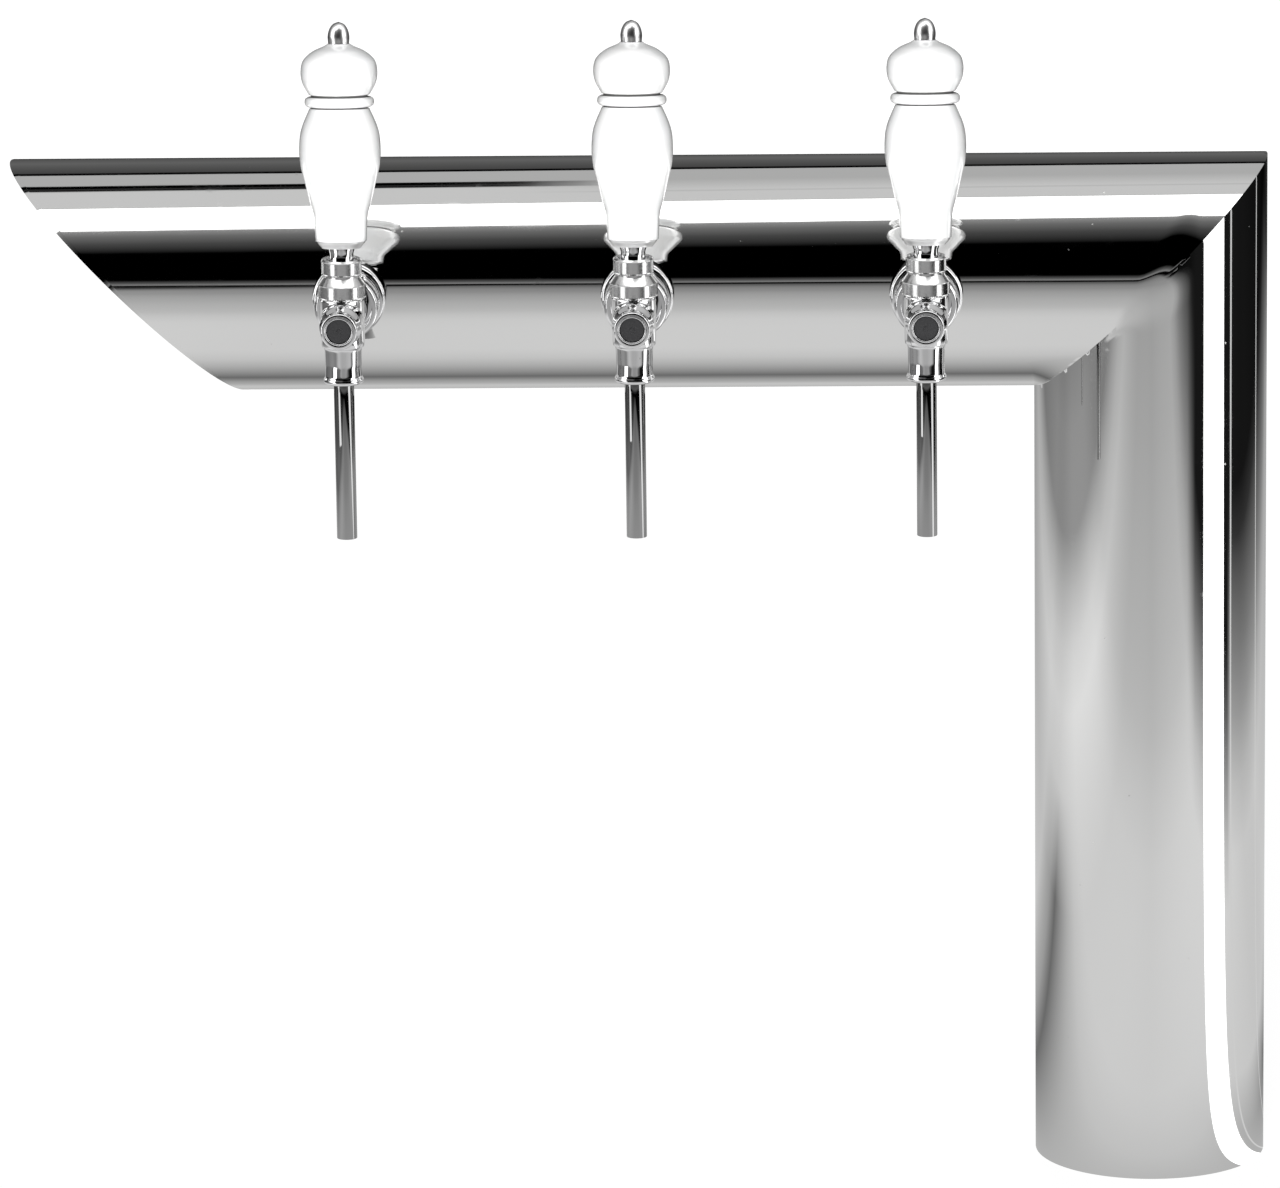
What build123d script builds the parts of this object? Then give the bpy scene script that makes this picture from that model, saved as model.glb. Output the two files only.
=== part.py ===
from build123d import *
import os
from math import cos, pi, sin, sqrt

# Beer tap tower: an L of polished stainless tube with three chromed lever taps.
# Millimetres. Origin: the column's axis in the plane of the bar top. +Z is up,
# the arm runs towards -X and the taps stand out towards -Y.

# ---------------------------------------------------------------- tower ----
TUBE_R = 114.3 / 2          # 4 inch tube
WALL = 2.0
TUBE_IN_R = TUBE_R - WALL
AXIS_H = 450.0              # bar top to the arm's axis
TIP_X = -560.0              # pointed top end of the arm
COVER_T = 2.0               # slanted end cover
TAP_X = (-390.0, -250.0, -110.0)
TAP_Y = -112.0              # vertical axis of each tap

# base ring, welded inside the foot of the column
GASKET_T = 1.5
RING_T = 8.0
RING_OPEN_R = 38.0
BOLT_CIRCLE_R = 46.5
BOLT_COUNT = 4
BOLT_HOLE_R = 3.4           # tapping size of M8

# ------------------------------------------------------------ tap, fixed ----
# Local heights and depths are from the crossing of the tap's two bores:
# z up, y towards the arm.
BARREL_R = 10.6             # upright barrel
SHOULDER_Z = 11.0           # bonnet nut sits here
NECK_R = 9.9                # threaded neck inside the bonnet nut
NECK_TOP_Z = 17.0
CAVITY_R = 9.0
SOCKET_R = 9.0              # spout socket
SOCKET_TOP_Z = -12.0
SOCKET_END_Z = -31.0
LIP_R = 9.9
LIP_H = 3.2
JOINT_FILLET = 0.8
REAR_BARREL_R = 10.2
REAR_FLANGE_R = 12.4
REAR_FLANGE_T = 4.0
BODY_REAR_Y = 33.0
BODY_FRONT_Y = -29.0
BOSS_R = 8.8
BOSS_WAIST_R = 8.1
CROSS_FRONT_Y = -18.0       # front end of the cross barrel
CAVITY_FLOOR_Z = -9.5
LEVER_BORE_R = 8.2          # lengthways bore that the lever's spade swings in
SEAT_FRONT_Y = 14.0
SEAT_REAR_Y = 17.0
SEAT_HOLE_R = 4.6
CHAMBER_R = 8.6
GUIDE_REAR_Y = -9.0
GUIDE_FRONT_Y = -13.0
BUTTON_BORE_R = 6.5
BUSH_R = 7.0
BUSH_REAR_Y = -24.5
BUSH_FRONT_Y = -28.7

# bonnet nut, ball collar
BONNET_R = 11.6
BONNET_BAND_TOP_Z = 18.3
CONE_TOP_Z = 21.4
CONE_TOP_R = 8.9
SPIGOT_R = 8.7
SPIGOT_TOP_Z = 24.5
EDGE = 0.5                  # chamfer on the knurled rings
THROAT_R = 6.0
COLLAR_R = 9.7
COLLAR_BOTTOM_Z = 22.2
COLLAR_TOP_Z = 30.0
COLLAR_GRIP_H = 3.0         # the collar closes in this far above the ball's centre

# spout
SPOUT_R = 4.9
SPOUT_BORE_R = 4.0
SPOUT_TOP_Z = -14.0
SPOUT_END_Z = -107.5

# ----------------------------------------------------------- tap, moving ----
PIVOT_Z = 26.0              # centre of the lever's ball
BALL_R = 8.0
BALL_CLEARANCE = 0.05
BALL_FLAT_Z = 2.4           # flat on the ball, above its centre
LEVER_NECK_R = 5.8
REST_LEAN = 7.0             # a closed tap's handle leans back by this many degrees
SPADE_LENGTH = 23.4         # pivot to the tip of the spade
SPADE_T = 3.0
SPADE_W = 5.0
STUD_R = 3.0
PIN_R = 3.0                 # front pin of the valve shaft
RUNNING_GAP = 0.05
SHAFT_COLLAR_R = 5.2
SHAFT_CORE_R = 2.2
SLOT_HALF = 2.2
SHAFT_COLLAR_T = 3.0
STEM_R = 2.5
SEAL_R = 6.8
SEAL_T = 3.45
SEAL_GAP = 0.05
SHAFT_NUT_R = 5.0
SHAFT_NUT_T = 3.0
PIN_END_Y = -19.0
BUTTON_R = 5.85
BUTTON_SHOULDER_R = 6.25
BUTTON_FACE_Y = -28.0
BUTTON_REAR_Y = -22.5
SPRING_R = 4.7
SPRING_WIRE_R = 0.35
SPRING_TURNS = 4.5

# ------------------------------------------------------------- the handle ----
HANDLE_Z = 35.0             # foot of the ferrule above the tap's bore axis
FERRULE_H = 3.9
GRIP_FOOT_Z = HANDLE_Z + FERRULE_H
GRIP_TOP_Z = 101.8
BEAD_H = 6.7
KNOB_FOOT_Z = GRIP_TOP_Z + BEAD_H
KNOB_TOP_Z = 132.8
FINIAL_TOP_Z = 143.5
FINIAL_R = 5.2
HANDLE_BORE_R = 3.1

# --------------------------------------------------- shank and the fittings ----
SHANK_R = 11.1
SHANK_BORE_R = 4.0
SHANK_FRONT_Y = 34.5        # local; the coupling washer lies in front of it
SHANK_REAR_Y = 84.0
COUPLING_R = 15.5
COUPLING_FRONT_Y = 26.0
COUPLING_REAR_Y = 45.0
ESCUTCHEON_R = 18.0
ESCUTCHEON_FRONT_Y = 45.0
INNER_SADDLE_R = 17.0
INNER_SADDLE_REAR_Y = 66.0
LOCK_NUT_T = 7.0
LOCK_NUT_FLATS = 30.0
TAIL_NUT_FRONT_Y = 76.0
TAIL_NUT_REAR_Y = 89.0
TAIL_NUT_FLATS = 27.0
BARB_R = 3.35
BARB_END_Y = 106.0
HOSE_R = 4.75
HOSE_BEND_R = 38.0
CLAMP_R = 6.2
CLAMP_W = 7.0
UNION_R = 9.0
UNION_BOTTOM_Z = 12.0
UNION_TOP_Z = 48.0
UNION_GRIP = 14.0


def turned(profile):
    """Solid of revolution about Z from a closed outline of (radius, height) points."""
    outline = Polyline(*[(r, 0, z) for r, z in profile], close=True)
    return revolve(make_face(outline), Axis.Z, 360)


def turned_curve(curve, closing):
    """Solid of revolution about Z: one smooth side, closed by straight lines through the points."""
    start, end = curve[0], curve[-1]
    side = Spline(*[(r, 0, z) for r, z in curve])
    rest = Polyline(*[(r, 0, z) for r, z in [end] + closing + [start]])
    return revolve(make_face([side, *rest.edges()]), Axis.Z, 360)


def ring(outer, inner, low, high):
    """Plain turned ring."""
    return turned([(inner, low), (outer, low), (outer, high), (inner, high)])


def lying(shape):
    """Turn a shape made about +Z to lie along +Y."""
    return Rot(X=-90) * shape


def disc(radius, low, high):
    """Plain cylinder between two heights."""
    return Pos(0, 0, (low + high) / 2) * Cylinder(radius, high - low)


def hexagon_nut(flats, bore, low, high):
    """Six-sided nut with its corners turned off."""
    corner_r = flats / 2 / cos(pi / 6)
    body = extrude(Pos(0, 0, low) * RegularPolygon(corner_r, 6), high - low)
    bevel = turned([
        (0, low), (flats / 2, low), (corner_r, low + 1), (corner_r, high - 1),
        (flats / 2, high), (0, high),
    ])
    return (body & bevel) - disc(bore, low - 1, high + 1)


def leaning(shape):
    """Lean an upright shape back about the ball's centre, as a closed tap's handle does."""
    return Pos(0, 0, PIVOT_Z) * Rot(X=-REST_LEAN) * Pos(0, 0, -PIVOT_Z) * shape


def at_tap(index, shape):
    """Place a shape from the tap's own frame."""
    return Pos(TAP_X[index], TAP_Y, AXIS_H) * shape


def write(name, shape):
    """One node; several solids make a group."""
    solids = [solid for item in shape for solid in item.solids()] if isinstance(shape, list) \
        else shape.solids()
    item = solids[0] if len(solids) == 1 else Compound(children=solids)
    item.label = name
    export_step(item, f"parts/{name}.step")


# ------------------------------------------------------------------- tower ----
def half_space(origin, direction):
    """Big block on the side of a plane that the direction points to."""
    size = 1600
    return Plane(origin=origin, z_dir=direction) * Pos(0, 0, size / 2) * Box(size, size, size)


def mitre(side):
    """Half space of the 45 degree mitre: +1 keeps the column's side, -1 the arm's."""
    return half_space((0, 0, AXIS_H), (side, 0, -side))


def arm_end(offset):
    """Half space beyond the slanted end, moved inwards by the offset."""
    foot = (TIP_X, 0, AXIS_H + TUBE_R)
    inward = (offset * cos(pi / 4), 0, offset * sin(pi / 4))
    return half_space((foot[0] + inward[0], 0, foot[2] + inward[2]), (-1, 0, -1))


def column_tube():
    """Upright tube with its mitred top."""
    tube = ring(TUBE_R, TUBE_IN_R, 0, AXIS_H + TUBE_R + 5)
    return tube & mitre(1)


def arm_blank(radius):
    """Round bar on the arm's axis, long enough for both cuts."""
    return Pos(TIP_X / 2, 0, AXIS_H) * Rot(Y=90) * Cylinder(radius, 760)


def arm_tube():
    """Level tube: mitred at the column, slanted at its end, with three shank holes."""
    tube = (arm_blank(TUBE_R) - arm_blank(TUBE_IN_R)) & mitre(-1)
    tube -= arm_end(COVER_T)
    for x in TAP_X:
        tube -= Pos(x, -TUBE_R, AXIS_H) * Rot(X=90) * Cylinder(SHANK_R, 20)
    return tube


COVER_SCREW_AT = 42.0       # along the slanted plate, up and down from its middle
COVER_SCREW_R = 2.0
COVER_HEAD_R = 3.8


def cover_frame():
    """Frame on the cover's outer face: x up the slant, z out of the arm."""
    middle = (TIP_X + TUBE_R, 0, AXIS_H)
    return Plane(origin=middle, x_dir=(-1, 0, 1), z_dir=(-1, 0, -1))


def end_cover():
    """Oval plate, flush with the tube, with two countersunk screw holes."""
    plate = (arm_blank(TUBE_R) & arm_end(COVER_T)) - arm_end(0)
    for side in (-1, 1):
        plate -= cover_frame() * Pos(side * COVER_SCREW_AT, 0, 0) * cover_screw_shape(COVER_T + 1)
    return plate


def cover_screw_shape(length):
    """Countersunk screw standing in the cover, its head flush with the face."""
    return turned([
        (0, -length), (COVER_SCREW_R, -length), (COVER_SCREW_R, COVER_SCREW_R - COVER_HEAD_R),
        (COVER_HEAD_R, 0), (0, 0),
    ])


def end_cover_screws():
    """Two countersunk screws with hexagon sockets."""
    screw = cover_screw_shape(12) - extrude(Pos(0, 0, -1.2) * RegularPolygon(1.45, 6), 2)
    return [cover_frame() * Pos(side * COVER_SCREW_AT, 0, 0) * screw for side in (-1, 1)]


def end_cover_lugs():
    """Two tapped blocks welded inside the tube behind the cover."""
    lugs = []
    for side in (-1, 1):
        block = Pos(side * (COVER_SCREW_AT + 15), 0, -COVER_T - 5) * Box(50, 16, 10)
        block -= Pos(side * COVER_SCREW_AT, 0, 0) * disc(COVER_SCREW_R, -20, 0)
        lugs.append((cover_frame() * block) & arm_blank(TUBE_IN_R))
    return lugs


def base_ring():
    """Welded ring with four M8 tapped holes and the opening for the beer lines."""
    body = ring(TUBE_IN_R, RING_OPEN_R, GASKET_T, GASKET_T + RING_T)
    return body - bolt_holes()


def base_gasket():
    """Rubber ring under the base ring, level with the column's foot."""
    body = ring(TUBE_IN_R, RING_OPEN_R, 0, GASKET_T)
    return body - bolt_holes()


def bolt_holes():
    """Cutters for the fixing holes, on the diagonals."""
    cutter = disc(BOLT_HOLE_R, -5, GASKET_T + RING_T + 5)
    return [
        Rot(Z=45 + 360 / BOLT_COUNT * k) * Pos(BOLT_CIRCLE_R, 0, 0) * cutter
        for k in range(BOLT_COUNT)
    ]


# --------------------------------------------------------------- tap, fixed ----
def tap_body():
    """Chromed brass body: upright barrel, cross barrel, front boss and spout socket."""
    upright = turned([
        (0, SOCKET_TOP_Z), (BARREL_R, SOCKET_TOP_Z), (BARREL_R, SHOULDER_Z), (0, SHOULDER_Z),
    ])
    cross = lying(disc(REAR_BARREL_R, CROSS_FRONT_Y, BODY_REAR_Y - REAR_FLANGE_T))
    body = upright + cross
    socket = disc(SOCKET_R, SOCKET_END_Z, SOCKET_TOP_Z)
    body += socket
    joints = body.edges().filter_by(
        lambda e: e.geom_type != GeomType.CIRCLE and e.geom_type != GeomType.LINE
    )
    body = fillet(joints, JOINT_FILLET)
    lip_mid = SOCKET_END_Z + LIP_H / 2
    body += turned_curve(
        [(SOCKET_R - 0.3, SOCKET_END_Z), (LIP_R, lip_mid), (SOCKET_R - 0.3, SOCKET_END_Z + LIP_H)],
        [(0, SOCKET_END_Z + LIP_H), (0, SOCKET_END_Z)],
    )
    body += lying(turned([
        (0, BODY_FRONT_Y), (BOSS_R - 0.6, BODY_FRONT_Y), (BOSS_R, BODY_FRONT_Y + 0.6),
        (BOSS_R, CROSS_FRONT_Y - 6), (BOSS_WAIST_R, CROSS_FRONT_Y - 5),
        (BOSS_WAIST_R, CROSS_FRONT_Y - 2), (REAR_BARREL_R, CROSS_FRONT_Y), (0, CROSS_FRONT_Y),
    ]))
    body += lying(disc(REAR_FLANGE_R, BODY_REAR_Y - REAR_FLANGE_T, BODY_REAR_Y))
    body += disc(NECK_R, SHOULDER_Z, NECK_TOP_Z)
    body -= disc(CAVITY_R, CAVITY_FLOOR_Z, NECK_TOP_Z + 1)
    body -= disc(SPOUT_BORE_R, SPOUT_TOP_Z, 0)
    body -= disc(SPOUT_R, SOCKET_END_Z - 1, SPOUT_TOP_Z)
    body -= lying(disc(LEVER_BORE_R, GUIDE_REAR_Y, SEAT_FRONT_Y))
    body -= lying(disc(SEAT_HOLE_R, 0, SEAT_REAR_Y))
    body -= lying(disc(CHAMBER_R, SEAT_REAR_Y, BODY_REAR_Y + 1))
    body -= lying(disc(PIN_R + RUNNING_GAP, GUIDE_FRONT_Y - 1, 0))
    body -= lying(disc(BUTTON_BORE_R, BUSH_REAR_Y, GUIDE_FRONT_Y))
    body -= lying(disc(BUSH_R, BODY_FRONT_Y - 1, BUSH_REAR_Y))
    return body


def bonnet_nut():
    """Lower knurled nut: screws on the body's neck and carries the ball's lower seat."""
    seat_r = BALL_R + BALL_CLEARANCE
    outer = turned([
        (0, SHOULDER_Z), (BONNET_R - EDGE, SHOULDER_Z), (BONNET_R, SHOULDER_Z + EDGE),
        (BONNET_R, BONNET_BAND_TOP_Z - EDGE), (BONNET_R - EDGE, BONNET_BAND_TOP_Z),
        (CONE_TOP_R, CONE_TOP_Z), (SPIGOT_R, CONE_TOP_Z), (SPIGOT_R, SPIGOT_TOP_Z),
        (0, SPIGOT_TOP_Z),
    ])
    outer -= Pos(0, 0, PIVOT_Z) * Sphere(seat_r)
    outer -= disc(THROAT_R, SHOULDER_Z, PIVOT_Z)
    return outer - disc(NECK_R, SHOULDER_Z - 1, NECK_TOP_Z + 0.3)


def ball_collar():
    """Upper knurled collar: screws on the bonnet nut and holds the ball down."""
    seat_r = BALL_R + BALL_CLEARANCE
    outer = turned([
        (0, COLLAR_BOTTOM_Z), (COLLAR_R - EDGE, COLLAR_BOTTOM_Z), (COLLAR_R, COLLAR_BOTTOM_Z + EDGE),
        (COLLAR_R, COLLAR_TOP_Z - 0.6), (COLLAR_R - 0.6, COLLAR_TOP_Z), (0, COLLAR_TOP_Z),
    ])
    outer -= Pos(0, 0, PIVOT_Z) * Sphere(seat_r)
    opening_r = sqrt(seat_r ** 2 - COLLAR_GRIP_H ** 2)
    outer -= disc(opening_r, PIVOT_Z, COLLAR_TOP_Z + 1)
    return outer - disc(SPIGOT_R, COLLAR_BOTTOM_Z - 1, SPIGOT_TOP_Z + 0.2)


def spout():
    """Straight pouring tube."""
    return ring(SPOUT_R, SPOUT_BORE_R, SPOUT_END_Z, SPOUT_TOP_Z)


def front_bush():
    """Ring screwed into the front boss; it keeps the button in."""
    return lying(turned([
        (BUTTON_R + 0.1, BUSH_FRONT_Y), (BUSH_R - 0.4, BUSH_FRONT_Y), (BUSH_R, BUSH_FRONT_Y + 0.4),
        (BUSH_R, BUSH_REAR_Y),
        (BUTTON_R + 0.1, BUSH_REAR_Y),
    ]))


# -------------------------------------------------------------- tap, moving ----
def lever():
    """Ball, neck, spade below and threaded stud above, in one piece."""
    ball = Pos(0, 0, PIVOT_Z) * Sphere(BALL_R)
    ball -= disc(BALL_R + 1, PIVOT_Z + BALL_FLAT_Z, PIVOT_Z + BALL_R + 1)
    flare_z = PIVOT_Z + 6.5
    neck = turned([
        (0, PIVOT_Z), (LEVER_NECK_R, PIVOT_Z), (LEVER_NECK_R, flare_z), (6.6, HANDLE_Z),
        (STUD_R, HANDLE_Z), (STUD_R, KNOB_TOP_Z + 5), (0, KNOB_TOP_Z + 5),
    ])
    spade_z = PIVOT_Z - SPADE_LENGTH
    spade = Pos(0, 0, (spade_z + PIVOT_Z) / 2) * Box(SPADE_W, SPADE_T, SPADE_LENGTH)
    return leaning(ball + neck) + spade


def valve_shaft():
    """Shaft that the lever pushes: front pin, slotted collars, stem and end nut."""
    slot_end = SLOT_HALF + SHAFT_COLLAR_T
    seal_front = SEAT_REAR_Y + SEAL_GAP
    seal_rear = seal_front + SEAL_T
    return lying(turned([
        (0, PIN_END_Y), (PIN_R, PIN_END_Y), (PIN_R, -slot_end), (SHAFT_COLLAR_R, -slot_end),
        (SHAFT_COLLAR_R, -SLOT_HALF), (SHAFT_CORE_R, -SLOT_HALF), (SHAFT_CORE_R, SLOT_HALF),
        (SHAFT_COLLAR_R, SLOT_HALF), (SHAFT_COLLAR_R, slot_end), (STEM_R, slot_end),
        (STEM_R, seal_rear), (SHAFT_NUT_R, seal_rear), (SHAFT_NUT_R, seal_rear + SHAFT_NUT_T),
        (0, seal_rear + SHAFT_NUT_T),
    ]))


def valve_seal():
    """Rubber washer that closes the seat from behind."""
    front = SEAT_REAR_Y + SEAL_GAP
    return lying(turned([
        (STEM_R, front), (SEAL_R - 1, front), (SEAL_R, front + 1), (SEAL_R, front + SEAL_T),
        (STEM_R, front + SEAL_T),
    ]))


def foam_button():
    """Dark push button, recessed in the bush, with a retaining shoulder."""
    shoulder_y = BUSH_REAR_Y + 0.1
    return lying(turned([
        (0, BUTTON_FACE_Y + 0.25), (1.1, BUTTON_FACE_Y + 0.25), (1.3, BUTTON_FACE_Y),
        (BUTTON_R - 0.4, BUTTON_FACE_Y), (BUTTON_R, BUTTON_FACE_Y + 0.4), (BUTTON_R, shoulder_y),
        (BUTTON_SHOULDER_R, shoulder_y), (BUTTON_SHOULDER_R, BUTTON_REAR_Y), (0, BUTTON_REAR_Y),
    ]))


def button_spring():
    """Coil spring between the button and the guide wall."""
    gap = 0.1 + SPRING_WIRE_R
    length = GUIDE_FRONT_Y - BUTTON_REAR_Y - 2 * gap
    path = Helix(pitch=length / SPRING_TURNS, height=length, radius=SPRING_R)
    section = Plane(origin=path @ 0, z_dir=path % 0) * Circle(SPRING_WIRE_R)
    coil = sweep(section, path, is_frenet=True)
    return lying(Pos(0, 0, BUTTON_REAR_Y + gap) * coil)


# ------------------------------------------------------------------- handle ----
def ferrule():
    """Chromed cup under the porcelain grip."""
    return leaning(turned([
        (HANDLE_BORE_R, HANDLE_Z), (9.3, HANDLE_Z), (10.0, HANDLE_Z + 1.2),
        (11.6, GRIP_FOOT_Z - 0.6), (11.6, GRIP_FOOT_Z), (HANDLE_BORE_R, GRIP_FOOT_Z),
    ]))


def grip():
    """Baluster grip of white porcelain."""
    side = [
        (12.2, GRIP_FOOT_Z), (12.9, 50), (14.8, 57.5), (17.0, 66.5), (19.4, 83), (18.1, 93),
        (14.2, GRIP_TOP_Z),
    ]
    closing = [(HANDLE_BORE_R, GRIP_TOP_Z), (HANDLE_BORE_R, GRIP_FOOT_Z)]
    return leaning(turned_curve(side, closing))


def bead():
    """Rounded porcelain bead between two narrow grooves."""
    low, high = GRIP_TOP_Z, KNOB_FOOT_Z
    side = [(15.2, low + 0.9), (16.6, (low + high) / 2), (15.2, high - 0.9)]
    rest = [
        (14.0, high - 0.9), (14.0, high), (HANDLE_BORE_R, high), (HANDLE_BORE_R, low),
        (14.0, low), (14.0, low + 0.9),
    ]
    return leaning(turned_curve(side, rest))


def knob():
    """Onion-shaped porcelain knob."""
    side = [
        (14.6, KNOB_FOOT_Z), (17.6, 114.4), (18.4, 120), (17.1, 125.2), (13.4, 129), (5.2, KNOB_TOP_Z),
    ]
    return leaning(turned_curve(side, [(HANDLE_BORE_R, KNOB_TOP_Z), (HANDLE_BORE_R, KNOB_FOOT_Z)]))


def finial():
    """Chromed acorn nut that clamps the handle on the lever's stud."""
    tip = FINIAL_TOP_Z
    dome = turned_curve(
        [(FINIAL_R - 0.2, KNOB_TOP_Z), (FINIAL_R, tip - 7.0), (FINIAL_R - 0.9, tip - 3.6),
         (FINIAL_R - 2.6, tip - 1.3), (0.001, tip)],
        [(0, KNOB_TOP_Z)],
    )
    return leaning(dome - disc(STUD_R, KNOB_TOP_Z - 1, KNOB_TOP_Z + 5))


# ------------------------------------------------------- shank and fittings ----
def coupling_nut():
    """Ring nut that draws the tap on to its shank, with six spanner notches."""
    flange_front = BODY_REAR_Y - REAR_FLANGE_T
    nut = turned([
        (REAR_BARREL_R + 0.2, COUPLING_FRONT_Y), (COUPLING_R - 1.2, COUPLING_FRONT_Y),
        (COUPLING_R, COUPLING_FRONT_Y + 1.2), (COUPLING_R, COUPLING_REAR_Y - 0.8),
        (COUPLING_R - 0.8, COUPLING_REAR_Y), (SHANK_R, COUPLING_REAR_Y), (SHANK_R, SHANK_FRONT_Y),
        (REAR_FLANGE_R, SHANK_FRONT_Y), (REAR_FLANGE_R, flange_front),
        (REAR_BARREL_R + 0.2, flange_front),
    ])
    notch = Pos(COUPLING_R, 0, (COUPLING_FRONT_Y + COUPLING_REAR_Y) / 2) * Rot(Y=90) * Cylinder(2, 3)
    nut -= [Rot(Z=60 * k) * notch for k in range(6)]
    return lying(nut)


def coupling_washer():
    """Rubber washer between the tap and the shank."""
    return lying(ring(REAR_FLANGE_R - 0.6, SHANK_BORE_R + 1.5, BODY_REAR_Y, SHANK_FRONT_Y))


def shank():
    """Threaded brass tube through the arm's wall."""
    return lying(ring(SHANK_R, SHANK_BORE_R, SHANK_FRONT_Y, SHANK_REAR_Y))


def tube_bar(radius):
    """The arm's round outline, seen from a tap's own frame."""
    return Pos(0, -TAP_Y, 0) * Rot(Y=90) * Cylinder(radius, 80)


def escutcheon():
    """Domed chrome collar whose back is hollowed to the arm's curve."""
    body = lying(turned([
        (SHANK_R, ESCUTCHEON_FRONT_Y), (ESCUTCHEON_R - 2.4, ESCUTCHEON_FRONT_Y),
        (ESCUTCHEON_R - 0.8, ESCUTCHEON_FRONT_Y + 1.0), (ESCUTCHEON_R, ESCUTCHEON_FRONT_Y + 3.0),
        (ESCUTCHEON_R, 60), (SHANK_R, 60),
    ]))
    return body - tube_bar(TUBE_R)


def inner_saddle():
    """Washer inside the arm, rounded on one side to the wall."""
    body = lying(ring(INNER_SADDLE_R, SHANK_R, 55, INNER_SADDLE_REAR_Y))
    return body & tube_bar(TUBE_IN_R)


def lock_nut():
    """Thin hexagon nut that clamps the shank to the arm."""
    rear = INNER_SADDLE_REAR_Y + LOCK_NUT_T
    return lying(hexagon_nut(LOCK_NUT_FLATS, SHANK_R, INNER_SADDLE_REAR_Y, rear))


def tail_nut():
    """Hexagon union nut on the shank's rear end."""
    nut = hexagon_nut(TAIL_NUT_FLATS, BARB_R, TAIL_NUT_FRONT_Y, TAIL_NUT_REAR_Y)
    nut -= disc(SHANK_R, TAIL_NUT_FRONT_Y - 1, SHANK_REAR_Y + 2)
    return lying(nut)


def tailpiece():
    """Hose tail: a flange held by the union nut and a barbed spigot."""
    outline = [(2.2, SHANK_REAR_Y), (SHANK_R, SHANK_REAR_Y), (SHANK_R, SHANK_REAR_Y + 2)]
    outline += [(BARB_R, SHANK_REAR_Y + 2), (BARB_R, BARB_END_Y - 1), (BARB_R - 0.6, BARB_END_Y)]
    outline.append((2.2, BARB_END_Y))
    return lying(turned(outline))


def hose_clamp():
    """Band clamp over the hose on its barb."""
    middle = BARB_END_Y - 9
    band = ring(CLAMP_R, HOSE_R, middle - CLAMP_W / 2, middle + CLAMP_W / 2)
    ear = Pos(0, CLAMP_R + 1.2, middle) * Box(4, 3.4, CLAMP_W)
    return lying(band + (ear - disc(HOSE_R, middle - CLAMP_W, middle + CLAMP_W)))


HOSE_START_Y = TAP_Y + TAIL_NUT_REAR_Y + 1
HOSE_RUN_Y = 38.0           # the hoses lie along the back of the arm
HOSE_LEVELS = (14.0, -14.0, 0.0)
HOSE_COLUMN_X = (22.0, -14.0, 4.0)
UNION_SPOTS = ((17.0, 10.0), (-17.0, 10.0), (0.0, -19.0))
LEVEL_RUN = 90.0            # length over which a hose changes level
FAN_TOP_Z = 350.0
FAN_BOTTOM_Z = 150.0


def hose_route(index):
    """Corners of one beer line: out of its tap, along the arm and down the column."""
    x = TAP_X[index]
    run_z = AXIS_H + HOSE_LEVELS[index]
    down_x = HOSE_COLUMN_X[index]
    foot_x, foot_y = UNION_SPOTS[index]
    route = [(x, HOSE_START_Y, AXIS_H), (x, HOSE_RUN_Y, AXIS_H)]
    if HOSE_LEVELS[index]:
        route.append((x + HOSE_BEND_R + 3, HOSE_RUN_Y, AXIS_H))
        route.append((x + HOSE_BEND_R + 3 + LEVEL_RUN, HOSE_RUN_Y, run_z))
    route += [
        (down_x, HOSE_RUN_Y, run_z), (down_x, HOSE_RUN_Y, FAN_TOP_Z),
        (foot_x, foot_y, FAN_BOTTOM_Z), (foot_x, foot_y, UNION_TOP_Z - UNION_GRIP),
    ]
    return route


def beer_line(index):
    """Hose from the tail to the push-in union at the foot."""
    path = FilletPolyline(*hose_route(index), radius=HOSE_BEND_R)
    section = Plane(origin=path @ 0, z_dir=path % 0) * (Circle(HOSE_R) - Circle(BARB_R))
    return sweep(section, path)


def line_union(index):
    """Push-in union: the line enters from above, the supply from below."""
    x, y = UNION_SPOTS[index]
    outline = [
        (HOSE_R, UNION_BOTTOM_Z), (UNION_R - 1.5, UNION_BOTTOM_Z), (UNION_R - 1.5, UNION_BOTTOM_Z + 3),
        (UNION_R, UNION_BOTTOM_Z + 4), (UNION_R, UNION_TOP_Z - 4), (UNION_R - 1.5, UNION_TOP_Z - 3),
        (UNION_R - 1.5, UNION_TOP_Z), (HOSE_R, UNION_TOP_Z), (HOSE_R, UNION_TOP_Z - UNION_GRIP),
        (BARB_R, UNION_TOP_Z - UNION_GRIP), (BARB_R, UNION_BOTTOM_Z + UNION_GRIP),
        (HOSE_R, UNION_BOTTOM_Z + UNION_GRIP),
    ]
    return Pos(x, y, 0) * turned(outline)


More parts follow.
